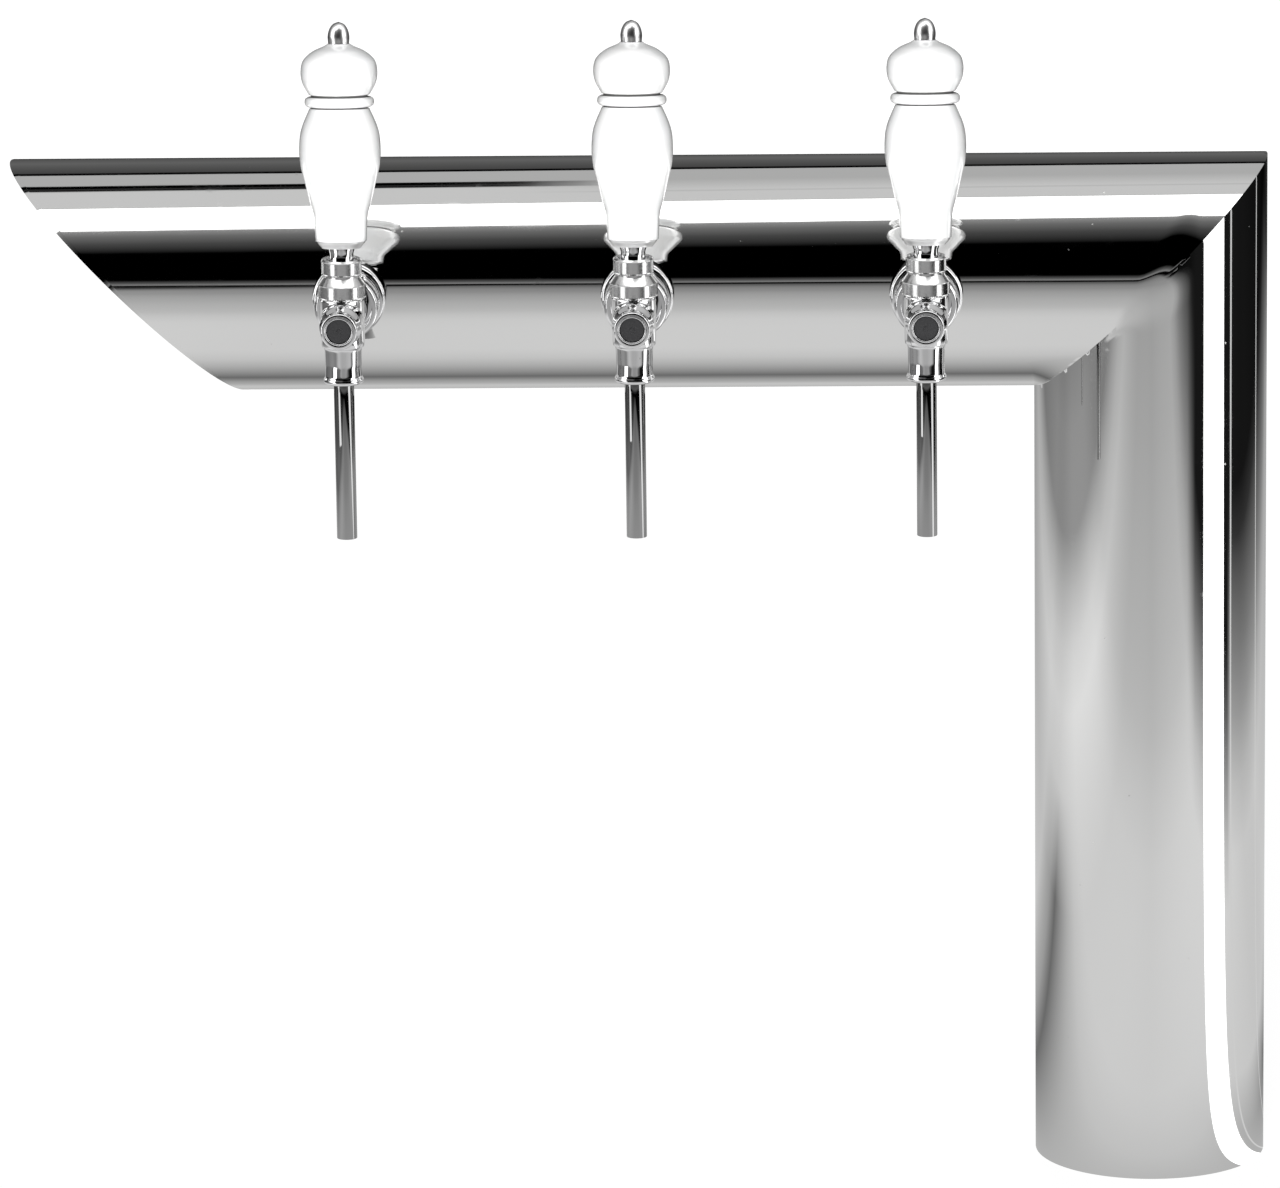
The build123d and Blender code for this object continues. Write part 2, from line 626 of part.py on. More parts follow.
# -------------------------------------------------------------------- output ----
TOWER_NODES = {
    "column_tube": column_tube,
    "arm_tube": arm_tube,
    "end_cover": end_cover,
    "end_cover_screws": end_cover_screws,
    "end_cover_lugs": end_cover_lugs,
    "base_ring": base_ring,
    "base_gasket": base_gasket,
}
GROUPED_NODES = {
    "escutcheons": escutcheon,
    "coupling_nuts": coupling_nut,
    "coupling_washers": coupling_washer,
    "shanks": shank,
    "inner_saddles": inner_saddle,
    "lock_nuts": lock_nut,
    "tail_nuts": tail_nut,
    "tailpieces": tailpiece,
    "hose_clamps": hose_clamp,
    "bonnet_nuts": bonnet_nut,
    "ball_collars": ball_collar,
    "front_bushes": front_bush,
    "button_springs": button_spring,
}
NODES_PER_TAP = {
    "tap_body": tap_body,
    "spout": spout,
    "lever": lever,
    "valve_shaft": valve_shaft,
    "valve_seal": valve_seal,
    "foam_button": foam_button,
    "handle_ferrule": ferrule,
    "handle_grip": grip,
    "handle_bead": bead,
    "handle_knob": knob,
    "handle_finial": finial,
}

os.makedirs("parts", exist_ok=True)
taps = range(len(TAP_X))
for name, make in TOWER_NODES.items():
    write(name, make())
for name, make in GROUPED_NODES.items():
    piece = make()
    write(name, [at_tap(index, piece) for index in taps])
for name, make in NODES_PER_TAP.items():
    piece = make()
    for index in taps:
        write(f"{name}_{index + 1}", at_tap(index, piece))
for index in taps:
    write(f"beer_line_{index + 1}", beer_line(index))
write("line_unions", [line_union(index) for index in taps])
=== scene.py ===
"""Beer tap tower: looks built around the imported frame.

The frame gives every place and size. Each sub-assembly is a class: the tower's tubes, a tap's
fixed pieces, its handle and the studio. Each finish is a frozen dataclass that makes its material.
"""

import logging
import math
from dataclasses import dataclass, field
from enum import Enum
from typing import Callable, Sequence

import bmesh
import bpy
from mathutils import Matrix, Vector


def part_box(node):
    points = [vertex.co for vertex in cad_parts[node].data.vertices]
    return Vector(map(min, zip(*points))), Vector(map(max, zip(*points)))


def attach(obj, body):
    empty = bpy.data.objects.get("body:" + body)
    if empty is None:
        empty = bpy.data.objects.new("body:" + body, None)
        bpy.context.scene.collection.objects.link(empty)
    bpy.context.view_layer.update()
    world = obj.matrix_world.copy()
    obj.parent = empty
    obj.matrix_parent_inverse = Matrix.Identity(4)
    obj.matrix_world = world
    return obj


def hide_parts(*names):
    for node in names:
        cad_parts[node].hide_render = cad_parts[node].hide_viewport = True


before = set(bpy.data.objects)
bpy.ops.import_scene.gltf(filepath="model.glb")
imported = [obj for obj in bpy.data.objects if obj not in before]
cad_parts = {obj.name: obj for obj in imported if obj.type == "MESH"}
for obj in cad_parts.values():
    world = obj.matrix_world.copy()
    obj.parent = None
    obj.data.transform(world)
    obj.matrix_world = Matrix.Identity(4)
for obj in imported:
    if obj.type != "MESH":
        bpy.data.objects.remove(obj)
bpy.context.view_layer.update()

MM = 0.001
TAPS = (1, 2, 3)
SHARP_OVER = 35.0  # degrees between two faces, over which their edge is bevelled
SMOOTH_UNDER = 32.0  # degrees, under which an edge is shaded smooth
log = logging.getLogger("tap_tower")

Profile = Sequence[tuple[float, float]]
Socket = bpy.types.NodeSocket
Piece = bpy.types.Object
Shape = bmesh.types.BMesh


class Lie(Enum):
    """Which way a turned piece's axis points."""

    UP = "up"
    BACK = "back"


# ------------------------------------------------------------------ shader nodes ----
def grey(shade: float) -> tuple[float, float, float, float]:
    """An even grey as a shader colour."""
    return (shade, shade, shade, 1.0)


def dial(node: bpy.types.Node, **values: object) -> None:
    """Set a node's constant inputs by name, with _ for a space."""
    for name, value in values.items():
        node.inputs[name.replace("_", " ")].default_value = value


class Sheet:
    """A node tree with short calls for the nodes that the finishes use."""

    def __init__(self, tree: bpy.types.NodeTree) -> None:
        """Keep the tree that nodes are added to."""
        self.tree = tree

    def add(self, kind: str, **settings: object) -> bpy.types.Node:
        """Add one node and set its properties.

        Args:
            kind: The node's type name.
            **settings: Properties of the node.

        Returns:
            The new node.
        """
        node = self.tree.nodes.new(kind)
        for name, value in settings.items():
            setattr(node, name, value)
        return node

    def feed(self, socket: Socket, value: object) -> None:
        """Link an output to a socket, or set the socket's own value.

        Args:
            socket: The input to fill.
            value: An output socket, a number, a colour or None to leave it alone.
        """
        if isinstance(value, Socket):
            self.tree.links.new(value, socket)
        elif value is not None:
            socket.default_value = value

    def math(self, how: str, a: object, b: object = None) -> Socket:
        """Add a Math node.

        Args:
            how: The operation.
            a: First value or socket.
            b: Second value or socket.

        Returns:
            The result's socket.
        """
        node = self.add("ShaderNodeMath", operation=how)
        self.feed(node.inputs[0], a)
        self.feed(node.inputs[1], b)
        return node.outputs[0]

    def remap(self, value: object, low: float, high: float, to_low: float = 0.0, to_high: float = 1.0,
              smooth: bool = False) -> Socket:
        """Add a Map Range node that carries one span on to another.

        Args:
            value: The value or socket to carry over.
            low: Start of the span.
            high: End of the span.
            to_low: Result at the start.
            to_high: Result at the end.
            smooth: Whether the change eases in and out.

        Returns:
            The result's socket.
        """
        node = self.add("ShaderNodeMapRange")
        node.interpolation_type = "SMOOTHSTEP" if smooth else "LINEAR"
        for index, item in enumerate((value, low, high, to_low, to_high)):
            self.feed(node.inputs[index], item)
        return node.outputs[0]

    def ramp(self, value: object, stops: Sequence[tuple[float, float]]) -> Socket:
        """Add a grey ColorRamp over a span of values, or two of them when there are many stops.

        Args:
            value: The value or socket that is looked up.
            stops: Pairs of (value, brightness), in rising order.

        Returns:
            The colour socket.
        """
        if len(stops) > 30:
            half = len(stops) // 2
            later = self.math("GREATER_THAN", value, stops[half][0])
            return self.mix(later, self.ramp(value, stops[:half + 1]), self.ramp(value, stops[half:]))
        low, high = stops[0][0], stops[-1][0]
        node = self.add("ShaderNodeValToRGB")
        self.feed(node.inputs[0], self.remap(value, low, high))
        marks = node.color_ramp.elements
        while len(marks) < len(stops):
            marks.new(0.5)
        for mark, (at, shade) in zip(marks, stops):
            mark.position = (at - low) / (high - low)
            mark.color = grey(shade)
        return node.outputs[0]

    def mix(self, share: object, a: object, b: object) -> Socket:
        """Mix two colours.

        Args:
            share: How much of the second is taken.
            a: First colour or socket.
            b: Second colour or socket.

        Returns:
            The mixed colour's socket.
        """
        node = self.add("ShaderNodeMix", data_type="RGBA")
        self.feed(node.inputs["Factor"], share)
        self.feed(node.inputs[6], a)
        self.feed(node.inputs[7], b)
        return node.outputs[2]

    def mix_shaders(self, share: object, a: Socket, b: Socket) -> Socket:
        """Mix two shaders."""
        node = self.add("ShaderNodeMixShader")
        for index, item in enumerate((share, a, b)):
            self.feed(node.inputs[index], item)
        return node.outputs[0]

    def place(self, scale: Sequence[float] = (1, 1, 1)) -> Socket:
        """Object coordinates, stretched by a Mapping node."""
        where = self.add("ShaderNodeTexCoord")
        mapping = self.add("ShaderNodeMapping")
        self.feed(mapping.inputs["Vector"], where.outputs["Object"])
        dial(mapping, Scale=scale)
        return mapping.outputs[0]

    def noise(self, scale: float, detail: float, where: object = None,
              roughness: float = 0.5) -> Socket:
        """Add a noise texture and give its value."""
        node = self.add("ShaderNodeTexNoise")
        self.feed(node.inputs["Vector"], where)
        dial(node, Scale=scale, Detail=detail, Roughness=roughness)
        return node.outputs[0]

    def bump(self, height: object, distance: float, strength: float = 1.0) -> Socket:
        """Add a Bump node and give its normal."""
        node = self.add("ShaderNodeBump")
        self.feed(node.inputs["Height"], height)
        dial(node, Distance=distance, Strength=strength)
        return node.outputs[0]


def shared_effect(name: str, inputs: dict[str, float], output: str,
                  build: Callable[[Sheet, dict[str, Socket]], Socket],
                  ) -> bpy.types.NodeTree:
    """Make a node group with number inputs and one number output.

    Args:
        name: The group's name.
        inputs: Input names with their defaults.
        output: The output's name.
        build: Fills the group in, and gives the socket that feeds the output.

    Returns:
        The node group.
    """
    tree = bpy.data.node_groups.new(name, "ShaderNodeTree")
    for label, value in inputs.items():
        socket = tree.interface.new_socket(label, in_out="INPUT", socket_type="NodeSocketFloat")
        socket.default_value = value
    tree.interface.new_socket(output, in_out="OUTPUT", socket_type="NodeSocketFloat")
    sheet = Sheet(tree)
    entry = sheet.add("NodeGroupInput")
    leaving = sheet.add("NodeGroupOutput")
    sheet.feed(leaving.inputs[0], build(sheet, {s.name: s for s in entry.outputs if s.name}))
    return tree


def build_hairlines(sheet: Sheet, given: dict[str, Socket]) -> Socket:
    """Fine crossed polishing lines that show as a change of roughness."""
    total: object = 0.0
    for stretch in ((1.0, 14.0, 2.0), (9.0, 1.5, 16.0)):
        where = sheet.add("ShaderNodeVectorMath", operation="SCALE")
        sheet.feed(where.inputs[0], sheet.place(stretch))
        sheet.feed(where.inputs["Scale"], given["Scale"])
        lines = sheet.noise(8.0, 3.0, where.outputs[0], 0.65)
        total = sheet.math("ADD", total, sheet.remap(lines, 0.62, 0.74))
    return sheet.math("MULTIPLY", total, given["Amount"])


def build_specks(sheet: Sheet, given: dict[str, Socket]) -> Socket:
    """Sparse round specks of dust or dried water."""
    cells = sheet.add("ShaderNodeTexVoronoi", feature="F1")
    sheet.feed(cells.inputs["Vector"], sheet.place())
    sheet.feed(cells.inputs["Scale"], given["Scale"])
    spot = sheet.remap(cells.outputs["Distance"], 0.05, 0.11, 1.0, 0.0)
    chosen = sheet.add("ShaderNodeSeparateColor")
    sheet.feed(chosen.inputs[0], cells.outputs["Color"])
    rare = sheet.math("LESS_THAN", chosen.outputs[0], given["Share"])
    return sheet.math("MULTIPLY", spot, rare)


def build_smears(sheet: Sheet, given: dict[str, Socket]) -> Socket:
    """Broad soft patches left by wiping."""
    broad = sheet.noise(1.0, 2.0, sheet.place((9.0, 9.0, 22.0)))
    fine = sheet.noise(1.0, 4.0, sheet.place((60.0, 60.0, 160.0)))
    patch = sheet.math("MULTIPLY", sheet.remap(broad, 0.42, 0.72), sheet.remap(fine, 0.35, 0.7))
    return sheet.math("MULTIPLY", patch, given["Amount"])


def build_grain(sheet: Sheet, given: dict[str, Socket]) -> Socket:
    """Fine even grain, as on moulded plastic or rubber."""
    where = sheet.add("ShaderNodeVectorMath", operation="SCALE")
    sheet.feed(where.inputs[0], sheet.place())
    sheet.feed(where.inputs["Scale"], given["Scale"])
    return sheet.noise(1.0, 3.0, where.outputs[0], 0.6)


@dataclass
class Effects:
    """Shader groups that more than one finish uses."""

    hairlines: bpy.types.NodeTree = field(init=False)
    specks: bpy.types.NodeTree = field(init=False)
    smears: bpy.types.NodeTree = field(init=False)
    grain: bpy.types.NodeTree = field(init=False)

    def __post_init__(self) -> None:
        """Build each group once."""
        self.hairlines = shared_effect("polishing_hairlines", {"Scale": 1.0, "Amount": 1.0}, "Mask",
                                       build_hairlines)
        self.specks = shared_effect("dust_specks", {"Scale": 60.0, "Share": 0.05}, "Mask", build_specks)
        self.smears = shared_effect("wiping_smears", {"Amount": 1.0}, "Mask", build_smears)
        self.grain = shared_effect("fine_grain", {"Scale": 2000.0}, "Height", build_grain)

    def use(self, sheet: Sheet, group: bpy.types.NodeTree, **values: float) -> Socket:
        """Place a group in a material.

        Args:
            sheet: The material's nodes.
            group: Which effect.
            **values: The group's input values, by name.

        Returns:
            The group's output socket.
        """
        node = sheet.add("ShaderNodeGroup", node_tree=group)
        dial(node, **values)
        return node.outputs[0]


# ---------------------------------------------------------------------- finishes ----
@dataclass(frozen=True)
class Finish:
    """Base of every finish: a named material with one Principled shader."""

    name: str
    slot: str
    colour: tuple[float, float, float]
    roughness: float

    def material(self, effects: Effects) -> bpy.types.Material:
        """Make the material.

        Args:
            effects: The shared shader groups.

        Returns:
            The finished material.
        """
        material = bpy.data.materials.new(self.name)
        material.use_nodes = True
        material.diffuse_color = (*self.colour, 1.0)
        sheet = Sheet(material.node_tree)
        shader = material.node_tree.nodes["Principled BSDF"]
        dial(shader, Base_Color=(*self.colour, 1.0), Roughness=self.roughness)
        self.detail(sheet, shader, effects)
        return material

    def detail(self, sheet: Sheet, shader: bpy.types.Node, effects: Effects) -> None:
        """Add the finish's own detail to the shader."""


@dataclass(frozen=True)
class PolishedMetal(Finish):
    """Mirror-bright metal with hairlines, wiping smears, specks and a slight ripple."""

    hairline_amount: float = 0.05
    smear_amount: float = 0.04
    speck_share: float = 0.04
    ripple: float = 0.00004
    ripple_scale: float = 18.0

    def detail(self, sheet: Sheet, shader: bpy.types.Node, effects: Effects) -> None:
        """Break the mirror up a little, as hand polishing and use do."""
        dial(shader, Metallic=1.0)
        lines = effects.use(sheet, effects.hairlines, Scale=1.0, Amount=self.hairline_amount)
        smears = effects.use(sheet, effects.smears, Amount=self.smear_amount)
        specks = effects.use(sheet, effects.specks, Scale=170.0, Share=self.speck_share)
        rough = sheet.math("ADD", sheet.math("ADD", lines, smears), self.roughness)
        rough = sheet.math("ADD", rough, sheet.math("MULTIPLY", specks, 0.35))
        sheet.feed(shader.inputs["Roughness"], rough)
        dust = (0.62, 0.62, 0.60, 1.0)
        speck_share = sheet.math("MULTIPLY", specks, 0.45)
        sheet.feed(shader.inputs["Base Color"], sheet.mix(speck_share, (*self.colour, 1.0), dust))
        wave = sheet.noise(self.ripple_scale, 1.0, sheet.place())
        sheet.feed(shader.inputs["Normal"], sheet.bump(wave, self.ripple))


@dataclass(frozen=True)
class GlazedPorcelain(Finish):
    """White body under a thick clear glaze."""

    coat_roughness: float = 0.02

    def detail(self, sheet: Sheet, shader: bpy.types.Node, effects: Effects) -> None:
        """Give the body slow tone changes and the glaze a faint orange-peel ripple."""
        dial(shader, Coat_Weight=1.0, Coat_Roughness=self.coat_roughness, Coat_IOR=1.6)
        tone = sheet.noise(1.0, 3.0, sheet.place((55.0, 55.0, 40.0)))
        cool = (self.colour[0] * 0.965, self.colour[1] * 0.972, self.colour[2] * 0.985, 1.0)
        body = sheet.mix(sheet.remap(tone, 0.35, 0.7), (*self.colour, 1.0), cool)
        pits = effects.use(sheet, effects.specks, Scale=210.0, Share=0.012)
        body = sheet.mix(sheet.math("MULTIPLY", pits, 0.5), body, (0.55, 0.54, 0.52, 1.0))
        sheet.feed(shader.inputs["Base Color"], body)
        peel = sheet.noise(260.0, 2.0, sheet.place())
        sheet.feed(shader.inputs["Normal"], sheet.bump(peel, 0.000012))


@dataclass(frozen=True)
class FineGrained(Finish):
    """Plastic or rubber: an even colour broken by grain, scuffs and dust."""

    grain_depth: float = 0.00003
    grain_scale: float = 2200.0
    transmission: float = 0.0

    def detail(self, sheet: Sheet, shader: bpy.types.Node, effects: Effects) -> None:
        """Add grain to the surface and to its tone."""
        dial(shader, Transmission_Weight=self.transmission)
        grain = effects.use(sheet, effects.grain, Scale=self.grain_scale)
        smears = effects.use(sheet, effects.smears, Amount=0.18)
        lighter = tuple(min(1.0, c * 1.5 + 0.02) for c in self.colour)
        tone = sheet.math("ADD", sheet.remap(grain, 0.35, 0.75, 0.0, 0.5), smears)
        sheet.feed(shader.inputs["Base Color"], sheet.mix(tone, (*self.colour, 1.0), (*lighter, 1.0)))
        sheet.feed(shader.inputs["Roughness"], sheet.math("ADD", smears, self.roughness))
        sheet.feed(shader.inputs["Normal"], sheet.bump(grain, self.grain_depth))


@dataclass(frozen=True)
class TurnedMetal(Finish):
    """Machined metal with tool marks and a little tarnish."""

    mark_depth: float = 0.00004

    def detail(self, sheet: Sheet, shader: bpy.types.Node, effects: Effects) -> None:
        """Add fine rings from the lathe and patches of tarnish."""
        dial(shader, Metallic=1.0)
        marks = effects.use(sheet, effects.hairlines, Scale=6.0, Amount=1.0)
        tarnish = sheet.noise(1.0, 5.0, sheet.place((120.0, 120.0, 120.0)), 0.6)
        darker = tuple(c * 0.55 for c in self.colour)
        share = sheet.remap(tarnish, 0.48, 0.78, 0.0, 0.7)
        sheet.feed(shader.inputs["Base Color"], sheet.mix(share, (*self.colour, 1.0), (*darker, 1.0)))
        rough = sheet.math("ADD", sheet.math("MULTIPLY", marks, 0.08), sheet.math("MULTIPLY", share, 0.2))
        sheet.feed(shader.inputs["Roughness"], sheet.math("ADD", rough, self.roughness))
        sheet.feed(shader.inputs["Normal"], sheet.bump(marks, self.mark_depth, 0.4))


STEEL_MIRROR = PolishedMetal("mirror_stainless", "polished_steel", (0.80, 0.80, 0.795), 0.028)
SPOUT_STEEL = PolishedMetal("spout_stainless", "chrome", (0.34, 0.34, 0.34), 0.03, speck_share=0.01)
SATIN_CHROME = PolishedMetal("satin_chrome", "chrome", (0.95, 0.95, 0.95), 0.28, speck_share=0.01)
CHROME = PolishedMetal("bright_chrome", "chrome", (0.78, 0.78, 0.785), 0.02, hairline_amount=0.03,
                       smear_amount=0.03, speck_share=0.02, ripple=0.00002, ripple_scale=120.0)
KNURLED_CHROME = PolishedMetal("knurled_chrome", "chrome", (0.74, 0.74, 0.74), 0.2,
                               smear_amount=0.10, speck_share=0.05, ripple=0.00001, ripple_scale=300.0)
PORCELAIN = GlazedPorcelain("white_porcelain", "porcelain", (0.93, 0.93, 0.925), 0.25)
# Near-black material for the bead's grooves: painted shade in the recess.
GROOVE_SHADE = FineGrained("painted_groove_shade", "porcelain", (0.10, 0.10, 0.098), 0.8, grain_scale=900.0)
BUTTON = FineGrained("dark_button", "button_plastic", (0.016, 0.016, 0.017), 0.5)
RUBBER = FineGrained("black_rubber", "rubber", (0.018, 0.018, 0.018), 0.7, grain_depth=0.00006)
HOSE = FineGrained("milky_hose", "hose", (0.70, 0.74, 0.76), 0.3, grain_scale=500.0, transmission=0.25)
ACETAL = FineGrained("grey_acetal", "union_plastic", (0.40, 0.41, 0.42), 0.45)
BRASS = TurnedMetal("turned_brass", "brass", (0.72, 0.55, 0.28), 0.24)
PLAIN_STEEL = TurnedMetal("plain_stainless", "steel", (0.56, 0.56, 0.55), 0.32)


@dataclass
class Paint:
    """Makes each finish once and gives it to pieces."""

    effects: Effects = field(default_factory=Effects)
    made: dict[str, bpy.types.Material] = field(default_factory=dict)

    def of(self, finish: Finish) -> bpy.types.Material:
        """The finish's material, made at its first use."""
        if finish.name not in self.made:
            self.made[finish.name] = finish.material(self.effects)
        return self.made[finish.name]

    def dress(self, piece: Piece, finish: Finish) -> None:
        """Put one finish on a whole piece, in every slot that it has."""
        if not piece.data.materials:
            piece.data.materials.append(None)
        for index in range(len(piece.data.materials)):
            piece.data.materials[index] = self.of(finish)


# --------------------------------------------------------------- mesh operations ----
def ease(value: float, low: float = 0.0, high: float = 1.0) -> float:
    """How far a value is from low to high, held between 0 and 1 and eased at both ends."""
    share = min(1.0, max(0.0, (value - low) / (high - low)))
    return share ** 2 * (3 - 2 * share)


def flow(points: Profile, per_span: int = 6) -> list[tuple[float, float]]:
    """A smooth curve through points, by Catmull-Rom spans.

    Args:
        points: The points that the curve passes through.
        per_span: Steps between two of them.

    Returns:
        The points along the curve.
    """
    ends = [tuple(2 * a - b for a, b in zip(points[0], points[1]))]
    ends += [*points, tuple(2 * a - b for a, b in zip(points[-1], points[-2]))]
    curve = []
    for p0, p1, p2, p3 in zip(ends, ends[1:], ends[2:], ends[3:]):
        for step in range(per_span):
            t = step / per_span
            curve.append(tuple(
                0.5 * (2 * b + (c - a) * t + (2 * a - 5 * b + 4 * c - d) * t ** 2
                       + (3 * b - a - 3 * c + d) * t ** 3)
                for a, b, c, d in zip(p0, p1, p2, p3)
            ))
    return [*curve, tuple(points[-1])]


def turned(profile: Profile, steps: int = 96, closed: bool = True) -> Shape:
    """Spin an outline round Z.

    Args:
        profile: Points of (radius, height) in millimetres.
        steps: Facets round the piece.
        closed: Whether the outline's end joins its start.

    Returns:
        The turned mesh, in metres.
    """
    shape = bmesh.new()
    verts = [shape.verts.new((radius * MM, 0.0, height * MM)) for radius, height in profile]
    edges = [shape.edges.new(pair) for pair in zip(verts, verts[1:])]
    if closed:
        edges.append(shape.edges.new((verts[-1], verts[0])))
    bmesh.ops.spin(shape, geom=verts + edges, cent=(0, 0, 0), axis=(0, 0, 1), angle=math.tau,
                   steps=steps, use_merge=True)
    bmesh.ops.remove_doubles(shape, verts=shape.verts, dist=1e-7)
    bmesh.ops.recalc_face_normals(shape, faces=shape.faces)
    return shape


def soften(shape: Shape, width: float) -> None:
    """Bevel every sharp edge.

    Args:
        shape: The mesh.
        width: The bevel's width in millimetres.
    """
    sharp = [edge for edge in shape.edges
             if len(edge.link_faces) == 2 and edge.calc_face_angle() > math.radians(SHARP_OVER)]
    bmesh.ops.bevel(shape, geom=sharp, offset=width * MM, offset_type="OFFSET", segments=2,
                    profile=0.5, affect="EDGES", clamp_overlap=True, material=-1)


def lay_back(shape: Shape) -> None:
    """Turn a shape made about +Z to lie along +Y."""
    bmesh.ops.rotate(shape, cent=(0, 0, 0), matrix=Matrix.Rotation(math.radians(-90), 3, "X"),
                     verts=shape.verts)


def new_object(name: str, data: bpy.types.ID) -> Piece:
    """Put an object with this data in the scene."""
    made = bpy.data.objects.new(name, data)
    bpy.context.scene.collection.objects.link(made)
    return made


def shade(mesh: bpy.types.Mesh, smooth_under: float = SMOOTH_UNDER) -> None:
    """Shade a mesh smooth and leave edges over an angle, in degrees, sharp."""
    mesh.shade_smooth()
    mesh.set_sharp_from_angle(angle=math.radians(smooth_under))


def as_piece(shape: Shape, name: str, at: Vector = Vector(), smooth_under: float = SMOOTH_UNDER,
             ) -> Piece:
    """Turn a bmesh into a named object whose place is in its mesh.

    Args:
        shape: The mesh, which is freed.
        name: The piece's name.
        at: Where the shape's own origin goes.
        smooth_under: Edges flatter than this angle, in degrees, are shaded smooth.

    Returns:
        The object.
    """
    bmesh.ops.translate(shape, vec=at, verts=shape.verts)
    mesh = bpy.data.meshes.new(name)
    shape.to_mesh(mesh)
    shape.free()
    shade(mesh, smooth_under)
    return new_object(name, mesh)


def bake_modifiers(piece: Piece) -> None:
    """Apply a piece's modifiers to its mesh."""
    bpy.context.view_layer.update()
    finished = piece.evaluated_get(bpy.context.evaluated_depsgraph_get())
    mesh = bpy.data.meshes.new_from_object(finished)
    piece.modifiers.clear()
    piece.data = mesh


def join_or_cut(piece: Piece, other: Piece, how: str) -> None:
    """Run a boolean against another object, which is then removed.

    Args:
        piece: The piece that is changed.
        other: The cutter or the shape to add.
        how: DIFFERENCE or UNION.
    """
    step = piece.modifiers.new("shape", "BOOLEAN")
    step.operation = how
    step.object = other
    step.solver = "EXACT"
    bake_modifiers(piece)
    bpy.data.objects.remove(other)


def settle(piece: Piece, body: str, slot: str, *nodes: str) -> Piece:
    """Tie a finished piece to its body and hide the nodes that it stands for."""
    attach(piece, body)
    if nodes:
        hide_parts(*nodes)
    return piece


def make_each(*makers: Callable[[], Piece]) -> None:
    """Make pieces in order and report each one."""
    for make in makers:
        piece = make()
        log.info("%s: %d faces", piece.name, len(piece.data.polygons))


def centre_of(node: str) -> Vector:
    """Middle of a node's box."""
    low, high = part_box(node)
    return (low + high) / 2


